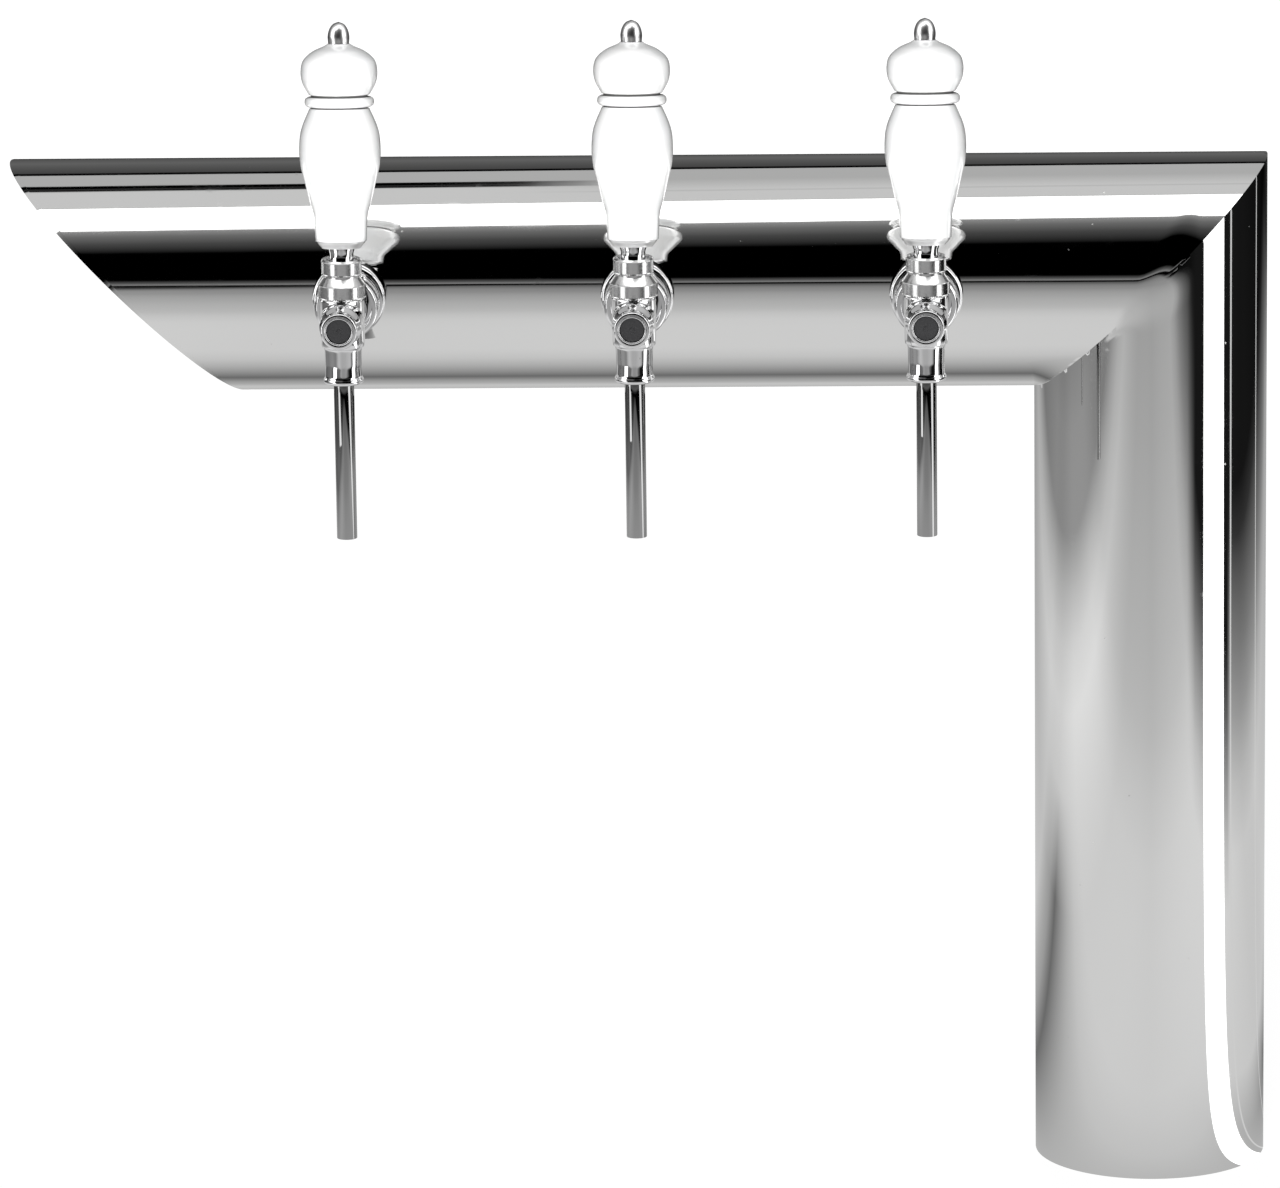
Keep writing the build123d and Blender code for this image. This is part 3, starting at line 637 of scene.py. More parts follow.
# ------------------------------------------------------------------------- tower ----
@dataclass
class Tower:
    """The polished tubes: an upright column, the arm mitred to it and the arm's slanted cover."""

    paint: Paint
    wall: float = 2.0
    facets: int = 256
    weld_blend: tuple[float, float] = (1.5, 17.0)
    widens: tuple[float, float] = (-26.0, 10.0)
    turns_crisp: tuple[float, float] = (2.0, 24.0)
    weld_loops: int = 16
    loop_gap: float = 1.5
    cover_t: float = 2.0
    radius: float = field(init=False)
    axis_z: float = field(init=False)
    tip_x: float = field(init=False)

    def __post_init__(self) -> None:
        """Read the tubes' sizes from the frame."""
        low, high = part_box("column_tube")
        self.radius = (high.x - low.x) / 2
        self.axis_z = high.z - self.radius
        self.tip_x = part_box("end_cover")[0].x

    def tube(self, length: float) -> Shape:
        """A round tube about Z, from z = 0 up.

        Args:
            length: Its length in metres.

        Returns:
            The mesh.
        """
        shape = bmesh.new()
        bmesh.ops.create_cone(shape, cap_ends=False, segments=self.facets, radius1=self.radius,
                              radius2=self.radius, depth=length)
        bmesh.ops.translate(shape, vec=(0, 0, length / 2), verts=shape.verts)
        return shape

    def slice(self, shape: Shape, point: Vector, outward: Vector, clear: bool = True) -> None:
        """Cut through a plane.

        Args:
            shape: The mesh.
            point: A point on the plane.
            outward: The plane's normal.
            clear: Whether what lies on the normal's side goes.
        """
        bmesh.ops.bisect_plane(shape, geom=[*shape.verts, *shape.edges, *shape.faces], dist=1e-7,
                               plane_co=point, plane_no=outward, clear_outer=clear)

    def loops_by_mitre(self, shape: Shape, into: Vector) -> None:
        """Add loops beside the mitre, which the ground and polished weld's shading needs.

        Args:
            shape: The tube.
            into: Unit direction from the mitre into this tube.
        """
        for step in range(1, self.weld_loops + 1):
            point = Vector((0, 0, self.axis_z)) + into * (self.loop_gap * step * MM)
            self.slice(shape, point, into, clear=False)

    def blend_weld(self, piece: Piece) -> None:
        """Turn the shading from one tube to the other where their weld is ground flush.

        The blend's reach grows from the inner corner out, and the outermost crease is crisp again.
        """
        mesh = piece.data
        least, most = self.weld_blend
        normals = [(0.0, 0.0, 0.0)] * len(mesh.loops)
        for face in mesh.polygons:
            for index in face.loop_indices:
                place = mesh.vertices[mesh.loops[index].vertex_index].co
                off = (place.z - self.axis_z - place.x) * math.sqrt(0.5)
                along = Vector((place.x, place.y, 0)).normalized()
                level = Vector((0, place.y, place.z - self.axis_z)).normalized()
                own, other = (along, level) if off < 0 else (level, along)
                if face.normal.dot(own) < 0.9:
                    continue
                reach = least + (most - least) * ease(place.x / MM, *self.widens)
                soft = 1 - ease(place.x / MM, *self.turns_crisp)
                share = 0.5 * soft * ease(1 - abs(off) / (reach * MM))
                normals[index] = tuple(own.lerp(other, share).normalized())
        mesh.normals_split_custom_set(normals)

    def column(self) -> Piece:
        """The upright tube with its mitred top."""
        shape = self.tube(self.axis_z + 2 * self.radius)
        self.slice(shape, Vector((0, 0, self.axis_z)), Vector((-1, 0, 1)))
        self.loops_by_mitre(shape, Vector((1, 0, -1)).normalized())
        return self.finish_tube(shape, "column_tube_polished", "column_tube")

    def arm(self) -> Piece:
        """The level tube: mitred at the column and slanted at its end."""
        shape = self.tube(4 * self.radius - self.tip_x)
        bmesh.ops.rotate(shape, cent=(0, 0, 0), matrix=Matrix.Rotation(math.radians(-90), 3, "Y"),
                         verts=shape.verts)
        bmesh.ops.translate(shape, vec=(2 * self.radius, 0, self.axis_z), verts=shape.verts)
        self.slice(shape, Vector((0, 0, self.axis_z)), Vector((1, 0, -1)))
        self.loops_by_mitre(shape, Vector((-1, 0, 1)).normalized())
        inset = self.cover_t * MM * math.sqrt(0.5)
        top = self.axis_z + self.radius
        self.slice(shape, Vector((self.tip_x + inset, 0, top + inset)), Vector((-1, 0, -1)))
        return self.finish_tube(shape, "arm_tube_polished", "arm_tube")

    def finish_tube(self, shape: Shape, name: str, node: str) -> Piece:
        """Wall, shading with the blended weld, and mirror finish for a tube."""
        bmesh.ops.recalc_face_normals(shape, faces=shape.faces)
        piece = as_piece(shape, name)
        wall = piece.modifiers.new("wall", "SOLIDIFY")
        wall.thickness = self.wall * MM
        wall.offset = -1.0
        wall.use_even_offset = False
        bake_modifiers(piece)
        shade(piece.data)
        self.blend_weld(piece)
        self.paint.dress(piece, STEEL_MIRROR)
        return settle(piece, "tower", STEEL_MIRROR.slot, node)

    def build(self) -> None:
        """Make the tubes and dress the cover, its screws and the foot."""
        make_each(self.column, self.arm)
        for node, finish in (("end_cover", STEEL_MIRROR), ("end_cover_screws", PLAIN_STEEL),
                             ("end_cover_lugs", PLAIN_STEEL), ("base_ring", PLAIN_STEEL),
                             ("base_gasket", RUBBER)):
            self.paint.dress(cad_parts[node], finish)


# --------------------------------------------------------------------------- tap ----
@dataclass
class TapFittings:
    """A tap's fixed chromed pieces: body, nuts, collar, bush, spout and escutcheon."""

    paint: Paint
    tube_r: float
    number: int
    voxel: float = 0.4
    teeth: int = 84
    knurl_depth: float = 0.22
    notches: int = 6
    notch_r: float = 2.0
    notch_depth: float = 3.0
    cast_smooth: float = 40.0
    knurl_smooth: float = 14.0
    origin: Vector = field(init=False)

    def __post_init__(self) -> None:
        """Find the crossing of the tap's bores."""
        spout = centre_of(f"spout_{self.number}")
        low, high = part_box(f"foam_button_{self.number}")
        self.origin = Vector((spout.x, spout.y, (low.z + high.z) / 2))

    def add(self, shape: Shape, name: str, finish: Finish, *nodes: str,
            smooth_under: float = SMOOTH_UNDER) -> Piece:
        """Place a shape at this tap, dress it and tie it to the tower."""
        piece = as_piece(shape, f"{name}_{self.number}_piece", self.origin, smooth_under)
        self.paint.dress(piece, finish)
        return settle(piece, "tower", finish.slot, *nodes)

    def barrel(self, profile: Profile, steps: int, lie: Lie) -> Shape:
        """One turned shape of the body, upright or lying along the tap."""
        shape = turned(profile, steps, closed=False)
        if lie is Lie.BACK:
            lay_back(shape)
        return shape

    def casting(self) -> bpy.types.Mesh:
        """The body's outside as one casting, with soft blends where its barrels meet.

        Returns:
            The mesh about the tap's own origin.
        """
        if "tap_casting" in bpy.data.meshes:
            return bpy.data.meshes["tap_casting"]
        whole = bmesh.new()
        upright = [(0, -13), (10.2, -13), (10.6, -11), (10.6, 10.4), (10.2, 11), (9.9, 11), (9.9, 17),
                   (0, 17)]
        socket = [(0, -31), (8.9, -31), (9.7, -30.2), (9.8, -29.0), (9.0, -27.6), (8.8, -22), (9.2, -12),
                  (0, -12)]
        cross = [(0, -29), (8.3, -29), (8.8, -28.5), (8.8, -24.4), (8.0, -23.2), (8.1, -20.5), (10.2, -17),
                 (10.2, 29), (12.4, 29), (12.4, 33), (0, 33)]
        for profile, lie in ((upright, Lie.UP), (socket, Lie.UP), (cross, Lie.BACK)):
            part = self.barrel(profile, 72, lie)
            scrap = bpy.data.meshes.new("part")
            part.to_mesh(scrap)
            part.free()
            whole.from_mesh(scrap)
            bpy.data.meshes.remove(scrap)
        piece = as_piece(whole, "tap_casting_work")
        skin = piece.modifiers.new("skin", "REMESH")
        skin.mode = "VOXEL"
        skin.voxel_size = self.voxel * MM
        skin.use_smooth_shade = True
        relax = piece.modifiers.new("relax", "SMOOTH")
        relax.factor = 0.5
        relax.iterations = 8
        bake_modifiers(piece)
        for profile, lie in (
            ([(0, -9.5), (9.0, -9.5), (9.0, 18), (0, 18)], Lie.UP),
            ([(0, -32), (4.9, -32), (4.9, -14), (4.0, -14), (4.0, -5), (0, -5)], Lie.UP),
            ([(0, -30), (7.4, -30), (7.4, -27.6), (7.0, -27.6), (7.0, -24.5), (6.5, -24.5), (6.5, -13),
              (3.05, -13), (3.05, -8), (0, -8)], Lie.BACK),
            ([(0, -9), (8.2, -9), (8.2, 14), (4.6, 14), (4.6, 17), (8.6, 17), (8.6, 34), (0, 34)], Lie.BACK),
        ):
            join_or_cut(piece, as_piece(self.barrel(profile, 64, lie), "cutter"), "DIFFERENCE")
        mesh = piece.data
        mesh.name = "tap_casting"
        mesh.use_fake_user = True
        bpy.data.objects.remove(piece)
        return mesh

    def body(self) -> Piece:
        """This tap's copy of the casting."""
        mesh = self.casting().copy()
        mesh.name = f"tap_body_{self.number}_mesh"
        mesh.transform(Matrix.Translation(self.origin))
        shade(mesh, self.cast_smooth)
        piece = new_object(f"tap_body_{self.number}_cast", mesh)
        self.paint.dress(piece, CHROME)
        return settle(piece, "tower", CHROME.slot, f"tap_body_{self.number}")

    def knurl(self, shape: Shape, radius: float, low: float, high: float) -> None:
        """Press a diamond knurl into a turned band.

        Args:
            shape: A piece turned in twice as many steps as it has teeth.
            radius: The band's radius in millimetres.
            low: Its lower edge.
            high: Its upper edge.
        """
        pitch = math.tau / (2 * self.teeth)
        heights = sorted({round(v.co.z, 7) for v in shape.verts
                          if low * MM < v.co.z < high * MM and abs(v.co.xy.length - radius * MM) < 1e-6})
        row = {height: index for index, height in enumerate(heights)}
        for vert in shape.verts:
            height = round(vert.co.z, 7)
            if height not in row or abs(vert.co.xy.length - radius * MM) > 1e-6:
                continue
            column = round(math.atan2(vert.co.y, vert.co.x) / pitch)
            if (column + row[height]) % 2:
                vert.co.xy *= 1 - self.knurl_depth / radius

    def band(self, radius: float, low: float, high: float, rows: int) -> list[tuple[float, float]]:
        """Outline points up a knurled band."""
        return [(radius, low + (high - low) * k / rows) for k in range(rows + 1)]

    def knurled(self, outline: Profile, radius: float, span: tuple[float, float], name: str) -> Piece:
        """A turned nut with a knurl on the band of this radius between two heights."""
        shape = turned(outline, 2 * self.teeth)
        self.knurl(shape, radius, *span)
        return self.add(shape, name, KNURLED_CHROME, f"{name}s", smooth_under=self.knurl_smooth)

    def bonnet_nut(self) -> Piece:
        """Lower nut: knurled band, cone and spigot."""
        inside = [(8.7, 21.4), (8.7, 24.5), (7.9, 24.5), (7.0, 22.0), (6.0, 20.6), (6.0, 17.3), (9.9, 17.3),
                  (9.9, 11.0)]
        outline = [(11.1, 11.0), *self.band(11.6, 11.5, 17.8, 16), (11.1, 18.3), (8.9, 21.4), *inside]
        return self.knurled(outline, 11.6, (11.6, 17.7), "bonnet_nut")

    def ball_collar(self) -> Piece:
        """Upper nut, with its round opening for the lever."""
        outline = [(9.2, 22.2), *self.band(9.7, 22.8, 29.2, 16), (9.1, 30.0), (7.9, 30.0), (7.47, 29.6),
                   (7.47, 29.0), (8.0, 26.6), (8.05, 26.0), (8.0, 24.7), (8.7, 24.7), (8.7, 22.2)]
        return self.knurled(outline, 9.7, (22.9, 29.1), "ball_collar")

    def front_bush(self) -> Piece:
        """Bright ring round the button."""
        bead = flow([(5.95, -28.0), (6.05, -28.5), (6.45, -28.7), (6.85, -28.5), (6.95, -28.0)], 4)
        shape = turned([*bead, (6.95, -24.5), (5.95, -24.5)])
        lay_back(shape)
        return self.add(shape, "front_bush", CHROME, "front_bushes")

    def coupling_nut(self) -> Piece:
        """Ring nut behind the body, with rounded shoulders, a groove and six spanner notches."""
        outline = [(10.4, 26), (14.3, 26), (15.5, 27.2), (15.5, 33), (14.7, 33.8), (14.7, 36), (15.5, 36.8),
                   (15.5, 44.2), (14.7, 45), (11.1, 45), (11.1, 34.5), (12.4, 34.5), (12.4, 29), (10.4, 29)]
        shape = turned(outline)
        soften(shape, 0.25)
        lay_back(shape)
        piece = self.add(shape, "coupling_nut", CHROME, "coupling_nuts")
        cutters = bmesh.new()
        for turn in range(self.notches):
            angle = math.radians(360 / self.notches * turn)
            aim = Matrix.Rotation(angle, 4, "Y") @ Matrix.Translation((15.5 * MM, 35.5 * MM, 0))
            bmesh.ops.create_cone(cutters, cap_ends=True, segments=32, radius1=self.notch_r * MM,
                                  radius2=self.notch_r * MM, depth=self.notch_depth * MM,
                                  matrix=aim @ Matrix.Rotation(math.radians(90), 4, "Y"))
        join_or_cut(piece, as_piece(cutters, "notch_cutter", self.origin), "DIFFERENCE")
        return piece

    def escutcheon(self) -> Piece:
        """Domed collar that sits on the arm's curve."""
        rim = flow([(15.6, 45), (16.8, 45.4), (17.6, 46.6), (18, 48.4)], 4)
        shape = turned([(11.1, 45), *rim, (18, 58), (11.1, 58)])
        lay_back(shape)
        tap_to_axis = -self.origin.y
        for vert in shape.verts:
            if vert.co.y > 57 * MM:
                vert.co.y = tap_to_axis - math.sqrt(self.tube_r ** 2 - vert.co.z ** 2)
        return self.add(shape, "escutcheon", CHROME, "escutcheons")

    def spout(self) -> Piece:
        """Straight pouring tube."""
        shape = turned([(4.0, -107.5), (4.9, -107.5), (4.9, -14), (4.0, -14)])
        soften(shape, 0.2)
        return self.add(shape, "spout_tube", SPOUT_STEEL, f"spout_{self.number}")

    def build(self) -> None:
        """Make the pieces and log them."""
        make_each(self.body, self.bonnet_nut, self.ball_collar, self.front_bush, self.coupling_nut,
                  self.escutcheon, self.spout)


@dataclass
class Handle:
    """The moving lever with its porcelain handle, about the tap's own origin."""

    paint: Paint
    number: int
    origin: Vector
    facets: int = 128
    pivot_up: float = 26.0
    ball_r: float = 8.0
    bore_r: float = 3.1
    lean: Matrix = field(init=False)

    def __post_init__(self) -> None:
        """Find how far the closed handle leans back."""
        tip = centre_of(f"handle_finial_{self.number}") - self.origin
        angle = math.atan2(tip.y, tip.z - self.pivot_up * MM)
        self.lean = Matrix.Rotation(-angle, 3, "X")

    def add(self, shape: Shape, name: str, finish: Finish, node: str) -> Piece:
        """Lean a shape back, unless it is the lever's own, and place it on this handle's body."""
        if node != "lever":
            self.lean_back(shape)
        piece = as_piece(shape, f"{name}_{self.number}_piece", self.origin)
        self.paint.dress(piece, finish)
        return settle(piece, f"handle_{self.number}", finish.slot, f"{node}_{self.number}")

    def lean_back(self, shape: Shape) -> None:
        """Lean an upright shape back about the ball's centre."""
        bmesh.ops.rotate(shape, cent=(0, 0, self.pivot_up * MM), matrix=self.lean, verts=shape.verts)

    def bored(self, outside: Profile) -> Shape:
        """Turn an outside, from its foot up, with the stud's bore through it."""
        return turned([(self.bore_r, outside[0][1]), *outside, (self.bore_r, outside[-1][1])], self.facets)

    def lever(self) -> Piece:
        """Ball, neck and stud turned in one, with the flat spade below."""
        ball_r, pivot = self.ball_r, self.pivot_up
        arc = [(ball_r * math.sin(math.radians(a)), pivot - ball_r * math.cos(math.radians(a)))
               for a in range(0, 107, 6)]
        top = [(math.sqrt(ball_r ** 2 - 2.4 ** 2), pivot + 2.4), (5.8, pivot + 2.4), (5.8, 32.5), (6.6, 35.0),
               (3.0, 35.0), (3.0, 137.5), (0, 137.8)]
        shape = turned([*arc, *top], self.facets, closed=False)
        soften(shape, 0.15)
        self.lean_back(shape)
        piece = as_piece(shape, "lever_work")
        spade = bmesh.new()
        bmesh.ops.create_cube(spade, size=1.0)
        bmesh.ops.scale(spade, vec=(5 * MM, 3 * MM, 20 * MM), verts=spade.verts)
        bmesh.ops.translate(spade, vec=(0, 0, 12.6 * MM), verts=spade.verts)
        join_or_cut(piece, as_piece(spade, "spade"), "UNION")
        final = bmesh.new()
        final.from_mesh(piece.data)
        bpy.data.objects.remove(piece)
        return self.add(final, "lever_chromed", CHROME, "lever")

    def ferrule(self) -> Piece:
        """Chromed cup under the grip."""
        side = flow([(9.3, 35.0), (10.0, 36.0), (11.2, 37.3), (11.7, 38.3)], 4)
        return self.add(self.bored([*side, (11.5, 38.9)]), "ferrule_cup", SATIN_CHROME, "handle_ferrule")

    def grip(self) -> Piece:
        """Baluster of porcelain."""
        side = flow([(12.0, 38.9), (12.3, 39.4), (12.9, 50), (14.8, 57.5), (17.0, 66.5), (19.2, 76),
                     (19.35, 86), (18.1, 93), (14.6, 101.3), (14.0, 101.8)], 8)
        return self.add(self.bored(side), "grip_porcelain", PORCELAIN, "handle_grip")

    def bead(self) -> Piece:
        """Rounded bead between two grooves, whose groove faces carry a near-black material as painted shade.
        """
        side = flow([(15.0, 102.8), (16.2, 103.6), (16.6, 105.15), (16.2, 106.7), (15.0, 107.5)], 6)
        shape = self.bored([(13.6, 101.8), (13.6, 102.8), *side, (13.6, 107.5), (13.6, 108.5)])
        # Groove faces inside the bead's radius take the near-black painted shade material.
        for face in shape.faces:
            if face.calc_center_median().xy.length < 14.7 * MM:
                face.material_index = 1
        piece = self.add(shape, "bead_porcelain", PORCELAIN, "handle_bead")
        piece.data.materials.append(self.paint.of(GROOVE_SHADE))
        return piece

    def knob(self) -> Piece:
        """Onion-shaped knob."""
        side = flow([(14.2, 108.5), (14.9, 109.2), (17.6, 114.4), (18.35, 120), (17.0, 125.2), (12.6, 129.2),
                     (7.2, 131.7), (5.4, 132.8)], 8)
        return self.add(self.bored(side), "knob_porcelain", PORCELAIN, "handle_knob")

    def finial(self) -> Piece:
        """Acorn nut on top."""
        side = flow([(5.0, 132.9), (5.2, 136.4), (4.4, 139.8), (2.7, 142.2), (0.0, 143.4)], 6)
        shape = turned([(3.0, 137.8), (3.0, 132.8), *side, (0.0, 137.8)], self.facets)
        return self.add(shape, "finial_acorn", SATIN_CHROME, "handle_finial")

    def build(self) -> None:
        """Make the pieces and log them."""
        make_each(self.lever, self.ferrule, self.grip, self.bead, self.knob, self.finial)


@dataclass
class HiddenWorks:
    """CAD nodes that keep their own meshes and only need a finish."""

    paint: Paint

    def build(self) -> None:
        """Dress the valve train, the shank fittings and the beer lines."""
        finishes = {
            "coupling_washers": RUBBER, "shanks": BRASS, "inner_saddles": PLAIN_STEEL,
            "lock_nuts": PLAIN_STEEL, "tail_nuts": BRASS, "tailpieces": BRASS, "hose_clamps": PLAIN_STEEL,
            "button_springs": PLAIN_STEEL, "line_unions": ACETAL,
        }
        for number in TAPS:
            finishes[f"valve_shaft_{number}"] = BRASS
            finishes[f"valve_seal_{number}"] = RUBBER
            finishes[f"foam_button_{number}"] = BUTTON
            finishes[f"beer_line_{number}"] = HOSE
        for node, finish in finishes.items():
            self.paint.dress(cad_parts[node], finish)
            log.info("%s: %s", node, finish.name)


# ------------------------------------------------------------------------ studio ----
@dataclass
class Studio:
    """Pale floor, soft lights front and rear, a banded surround for the mirrors, and the camera."""

    camera_at: tuple[float, float, float] = (-0.1029, -4.1444, 1.2989)
    turn: float = 2.127
    tilt: float = -13.656
    roll: float = -0.765
    lens: float = 241.76
    shift: tuple[float, float] = (0.00625, -0.0073)
    floor_size: float = 40.0
    panel_white: float = 2.2
    fill: float = 0.22
    light_size: float = 0.9
    lights: tuple[tuple[str, float, float], ...] = (("front_light", -4.3, 215.0),
                                                    ("rear_light", 4.3, 140.0))
    aim: tuple[float, float, float] = (-0.25, 0.0, 0.45)

    def camera(self) -> None:
        """Long lens from a little above, square to the arm."""
        data = bpy.data.cameras.new("camera")
        data.lens = self.lens
        data.sensor_width = 36.0
        data.shift_x, data.shift_y = self.shift
        data.clip_end = 100.0
        camera = new_object("camera", data)
        camera.matrix_world = (
            Matrix.Translation(self.camera_at)
            @ Matrix.Rotation(math.radians(self.turn), 4, "Z")
            @ Matrix.Rotation(math.radians(90 + self.tilt), 4, "X")
            @ Matrix.Rotation(math.radians(self.roll), 4, "Z")
        )
        bpy.context.scene.camera = camera

    def painted_floor_light(self, sheet: Sheet) -> Socket:
        """The floor's glow in the mirrors, all painted light: bright near the tower and dark far away, with a
        painted shadow of the tower behind it, painted white cards and dark bands at the sides.

        Args:
            sheet: The floor material's nodes.

        Returns:
            The colour socket.
        """
        where = sheet.add("ShaderNodeSeparateXYZ")
        sheet.feed(where.inputs[0], sheet.place())
        across, back = where.outputs[0], where.outputs[1]
        # Painted light falloff along and across the floor, brightest near the tower.
        rows = sheet.ramp(back, [
            (-20, 0.04), (-8.5, 0.15), (-3.2, 0.30), (-1.7, 0.43), (-0.98, 0.53), (-0.675, 0.68),
            (-0.46, 0.70), (-0.2, 0.70), (-0.095, 0.69), (0.06, 0.62), (0.25, 0.58), (0.447, 0.60),
            (1.2, 0.42), (1.7, 0.34), (2.2, 0.03), (20, 0.02),
        ])
        sides = sheet.ramp(across, [
            (-20, 0.04), (-2.2, 0.06), (-1.7, 0.10), (-1.4, 0.10), (-1.15, 0.22), (-0.95, 0.26),
            (-0.75, 0.235), (-0.5, 0.21), (-0.2, 0.215), (0.0, 0.21), (0.25, 0.225), (0.7, 0.235),
            (0.88, 0.14), (1.1, 0.075), (1.45, 0.003), (20, 0.002),
        ])
        # Painted shadow of the arm and column on the floor just behind them, held across by the next ramp.
        painted_tower_shadow = sheet.ramp(back, [(-0.2, 0.0), (-0.095, 0.08), (-0.015, 0.25), (0.057, 0.45),
                                (0.155, 0.73), (0.25, 0.38), (0.447, 0.0)])
        under = sheet.ramp(across, [(-0.75, 0), (-0.5, 1), (0.1, 1), (0.2, 0)])
        rows = sheet.mix(sheet.math("MULTIPLY", painted_tower_shadow, under), rows, grey(0.0))
        strong = sheet.math("MULTIPLY", sheet.math("MULTIPLY", rows, sides), 5.0)
        front = sheet.math("MULTIPLY", back, -1.0)
        bearing = sheet.math("DEGREES", sheet.math("ARCTAN2", across, front))
        away = sheet.math("SQRT", sheet.math("ADD", sheet.math("MULTIPLY", across, across),
                                             sheet.math("MULTIPLY", back, back)))
        # Painted white cards at the sides, seen only in the mirrors.
        right = sheet.ramp(bearing, [(40, 0), (52, 0), (52.3, 1), (75.2, 1), (75.6, 0), (90, 0)])
        left = sheet.ramp(bearing, [(-80, 0), (-64, 0), (-63, 1), (-44, 1), (-43, 0), (-30, 0)])
        left = sheet.math("MULTIPLY", left, sheet.math("GREATER_THAN", away, 2.08))
        painted_white_cards = sheet.math("MAXIMUM", left, right)
        # Painted bright lines, and dark bands beside the cards that deepen towards the sides.
        thin = sheet.ramp(bearing, [(70, 0), (83.3, 0), (83.7, 1), (85.2, 1), (85.6, 0), (125.6, 0),
                                    (126, 1), (127, 1), (127.4, 0), (140, 0)])
        edge = sheet.ramp(bearing, [(35, 0), (43, 1), (51.5, 1), (52, 0), (75.4, 0), (75.8, 1), (80.0, 1),
                                    (82, 0.4), (84, 0), (120, 0)])
        far = sheet.remap(sheet.math("ABSOLUTE", across), 0.5, 1.1)
        shaded = sheet.mix(sheet.math("MULTIPLY", edge, far), strong, grey(0.01))
        lined = sheet.mix(thin, shaded, grey(0.75))
        return sheet.mix(painted_white_cards, lined, grey(self.panel_white))

    def floor(self) -> None:
        """A pale floor that takes a faint shadow; in the mirrors it glows with painted light that fades into
        the dark far away.
        """
        shape = bmesh.new()
        bmesh.ops.create_grid(shape, x_segments=1, y_segments=1, size=self.floor_size / 2)
        piece = as_piece(shape, "studio_floor")
        material = bpy.data.materials.new("pale_floor")
        material.use_nodes = True
        sheet = Sheet(material.node_tree)
        shader = material.node_tree.nodes["Principled BSDF"]
        dial(shader, Base_Color=grey(0.86), Roughness=0.9)
        pale = sheet.add("ShaderNodeEmission")
        dial(pale, Strength=1.05)
        # Mirror rays see this emission: the floor's painted light and painted shadow.
        painted_floor_glow = sheet.add("ShaderNodeEmission")
        sheet.feed(painted_floor_glow.inputs["Color"], self.painted_floor_light(sheet))
        rays = sheet.add("ShaderNodeLightPath")
        direct = sheet.mix_shaders(sheet.math("MULTIPLY", rays.outputs["Is Camera Ray"], 0.88),
                                   shader.outputs[0], pale.outputs[0])
        seen = sheet.mix_shaders(rays.outputs["Is Glossy Ray"], direct, painted_floor_glow.outputs[0])
        sheet.feed(material.node_tree.nodes["Material Output"].inputs[0], seen)
        piece.data.materials.append(material)

    def overhead_tones(self, sheet: Sheet, lift: object, gap: bool) -> Socket:
        """Brightness of the surround by its angle over the arm, from the camera side to the back.

        Args:
            sheet: The world's nodes.
            lift: Degrees up and over from the camera side, with the panels' slant taken off.
            gap: Whether the dark gap between the rear panels shows.

        Returns:
            The colour socket.
        """
        white, panel, rear = self.panel_white, 0.68, 0.5
        stops = [(-20, 0.0), (-0.2, 0.0), (0.1, 0.30), (2.2, 0.10), (5, 0.0), (40, 0.0), (52, 0.07),
                 (60, 0.17), (66, 0.32), (66.8, white), (91, white), (91.6, 0.40), (92.2, panel)]
        if gap:
            stops += [(113, panel), (113.6, 0.0), (116.5, 0.02), (117, 0.10), (117.5, 0.0), (121, 0.0),
                      (121.6, rear)]
        else:
            stops += [(104, panel), (105, 0.5), (106, panel), (121.6, rear)]
        stops += [(139, rear), (139.6, 0.0), (143, 0.0), (144, 0.07), (168, 0.14), (200, 0.05)]
        return sheet.ramp(lift, stops)

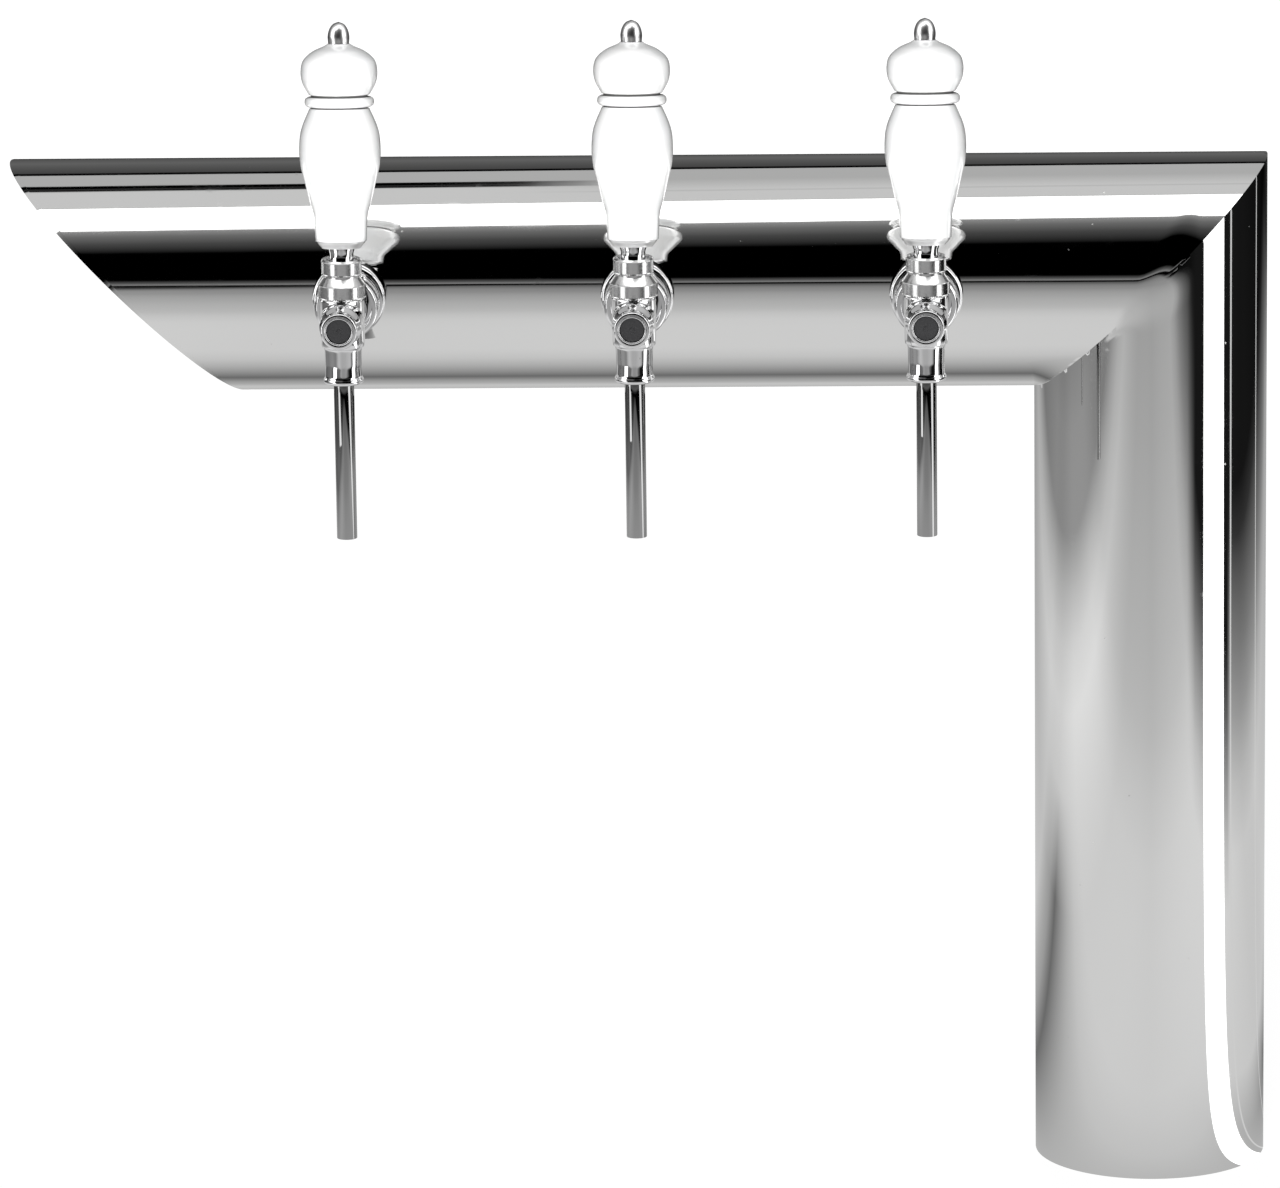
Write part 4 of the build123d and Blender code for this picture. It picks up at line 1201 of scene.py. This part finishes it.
    def surround(self) -> None:
        """World: white to the camera, even light for soft shading, and panels for the mirrors."""
        world = bpy.data.worlds.new("studio")
        bpy.context.scene.world = world
        world.use_nodes = True
        sheet = Sheet(world.node_tree)
        background = world.node_tree.nodes["Background"]
        way = sheet.add("ShaderNodeSeparateXYZ")
        sheet.feed(way.inputs[0], sheet.add("ShaderNodeTexCoord").outputs["Generated"])
        side, depth, height = way.outputs
        front = sheet.math("MULTIPLY", depth, -1.0)
        lift = sheet.math("DEGREES", sheet.math("ARCTAN2", height, front))
        slant = sheet.remap(side, -0.13, 0.05, -13.6, -0.7)
        above = sheet.remap(lift, 8.0, 40.0)
        slanted = sheet.math("SUBTRACT", lift, sheet.math("MULTIPLY", slant, above))
        with_gap = self.overhead_tones(sheet, slanted, True)
        plain = self.overhead_tones(sheet, slanted, False)
        panels = sheet.mix(sheet.remap(side, -0.05, -0.035, smooth=True), with_gap, plain)
        bearing = sheet.math("DEGREES", sheet.math("ARCTAN2", side, front))
        around = sheet.math("ABSOLUTE", bearing)
        box = sheet.math("MULTIPLY", sheet.math("GREATER_THAN", around, 50.0),
                         sheet.math("LESS_THAN", around, 79.0))
        low = sheet.math("LESS_THAN", height, 0.55)
        wide = sheet.math("GREATER_THAN", sheet.math("ABSOLUTE", side), 0.3)
        stands = sheet.math("MULTIPLY", box, sheet.math("MULTIPLY", low, wide))
        panels = sheet.mix(stands, panels, grey(self.panel_white))
        rays = sheet.add("ShaderNodeLightPath")
        seen = sheet.mix(rays.outputs["Is Diffuse Ray"], panels, grey(self.fill))
        seen = sheet.mix(rays.outputs["Is Camera Ray"], seen, grey(1.02))
        sheet.feed(background.inputs[0], seen)

    def soft_light(self, name: str, place: tuple[float, float, float], power: float) -> None:
        """One broad light that the mirrors don't show.

        Args:
            name: The light's name.
            place: Where it hangs.
            power: Its power in watts.
        """
        data = bpy.data.lights.new(name, "AREA")
        data.shape = "DISK"
        data.size = self.light_size
        data.energy = power
        lamp = new_object(name, data)
        lamp.location = place
        aim = Vector(self.aim) - lamp.location
        lamp.rotation_euler = aim.to_track_quat("-Z", "Y").to_euler()
        lamp.visible_glossy = False

    def build(self) -> None:
        """Set the studio up."""
        bpy.context.scene.view_settings.view_transform = "Standard"
        bpy.context.scene.view_settings.look = "None"
        self.camera()
        self.floor()
        self.surround()
        for name, depth, power in self.lights:
            self.soft_light(name, (-0.3, depth, 1.6), power)
        log.info("studio: floor, surround, two lights and camera")


def main() -> None:
    """Build the tower piece by piece, then the studio round it."""
    logging.basicConfig(level=logging.INFO, format="%(name)s: %(message)s")
    paint = Paint()
    tower = Tower(paint)
    tower.build()
    for number in TAPS:
        fittings = TapFittings(paint, tower.radius, number)
        fittings.build()
        Handle(paint, number, fittings.origin).build()
    HiddenWorks(paint).build()
    Studio().build()


if __name__ == "__main__":
    main()
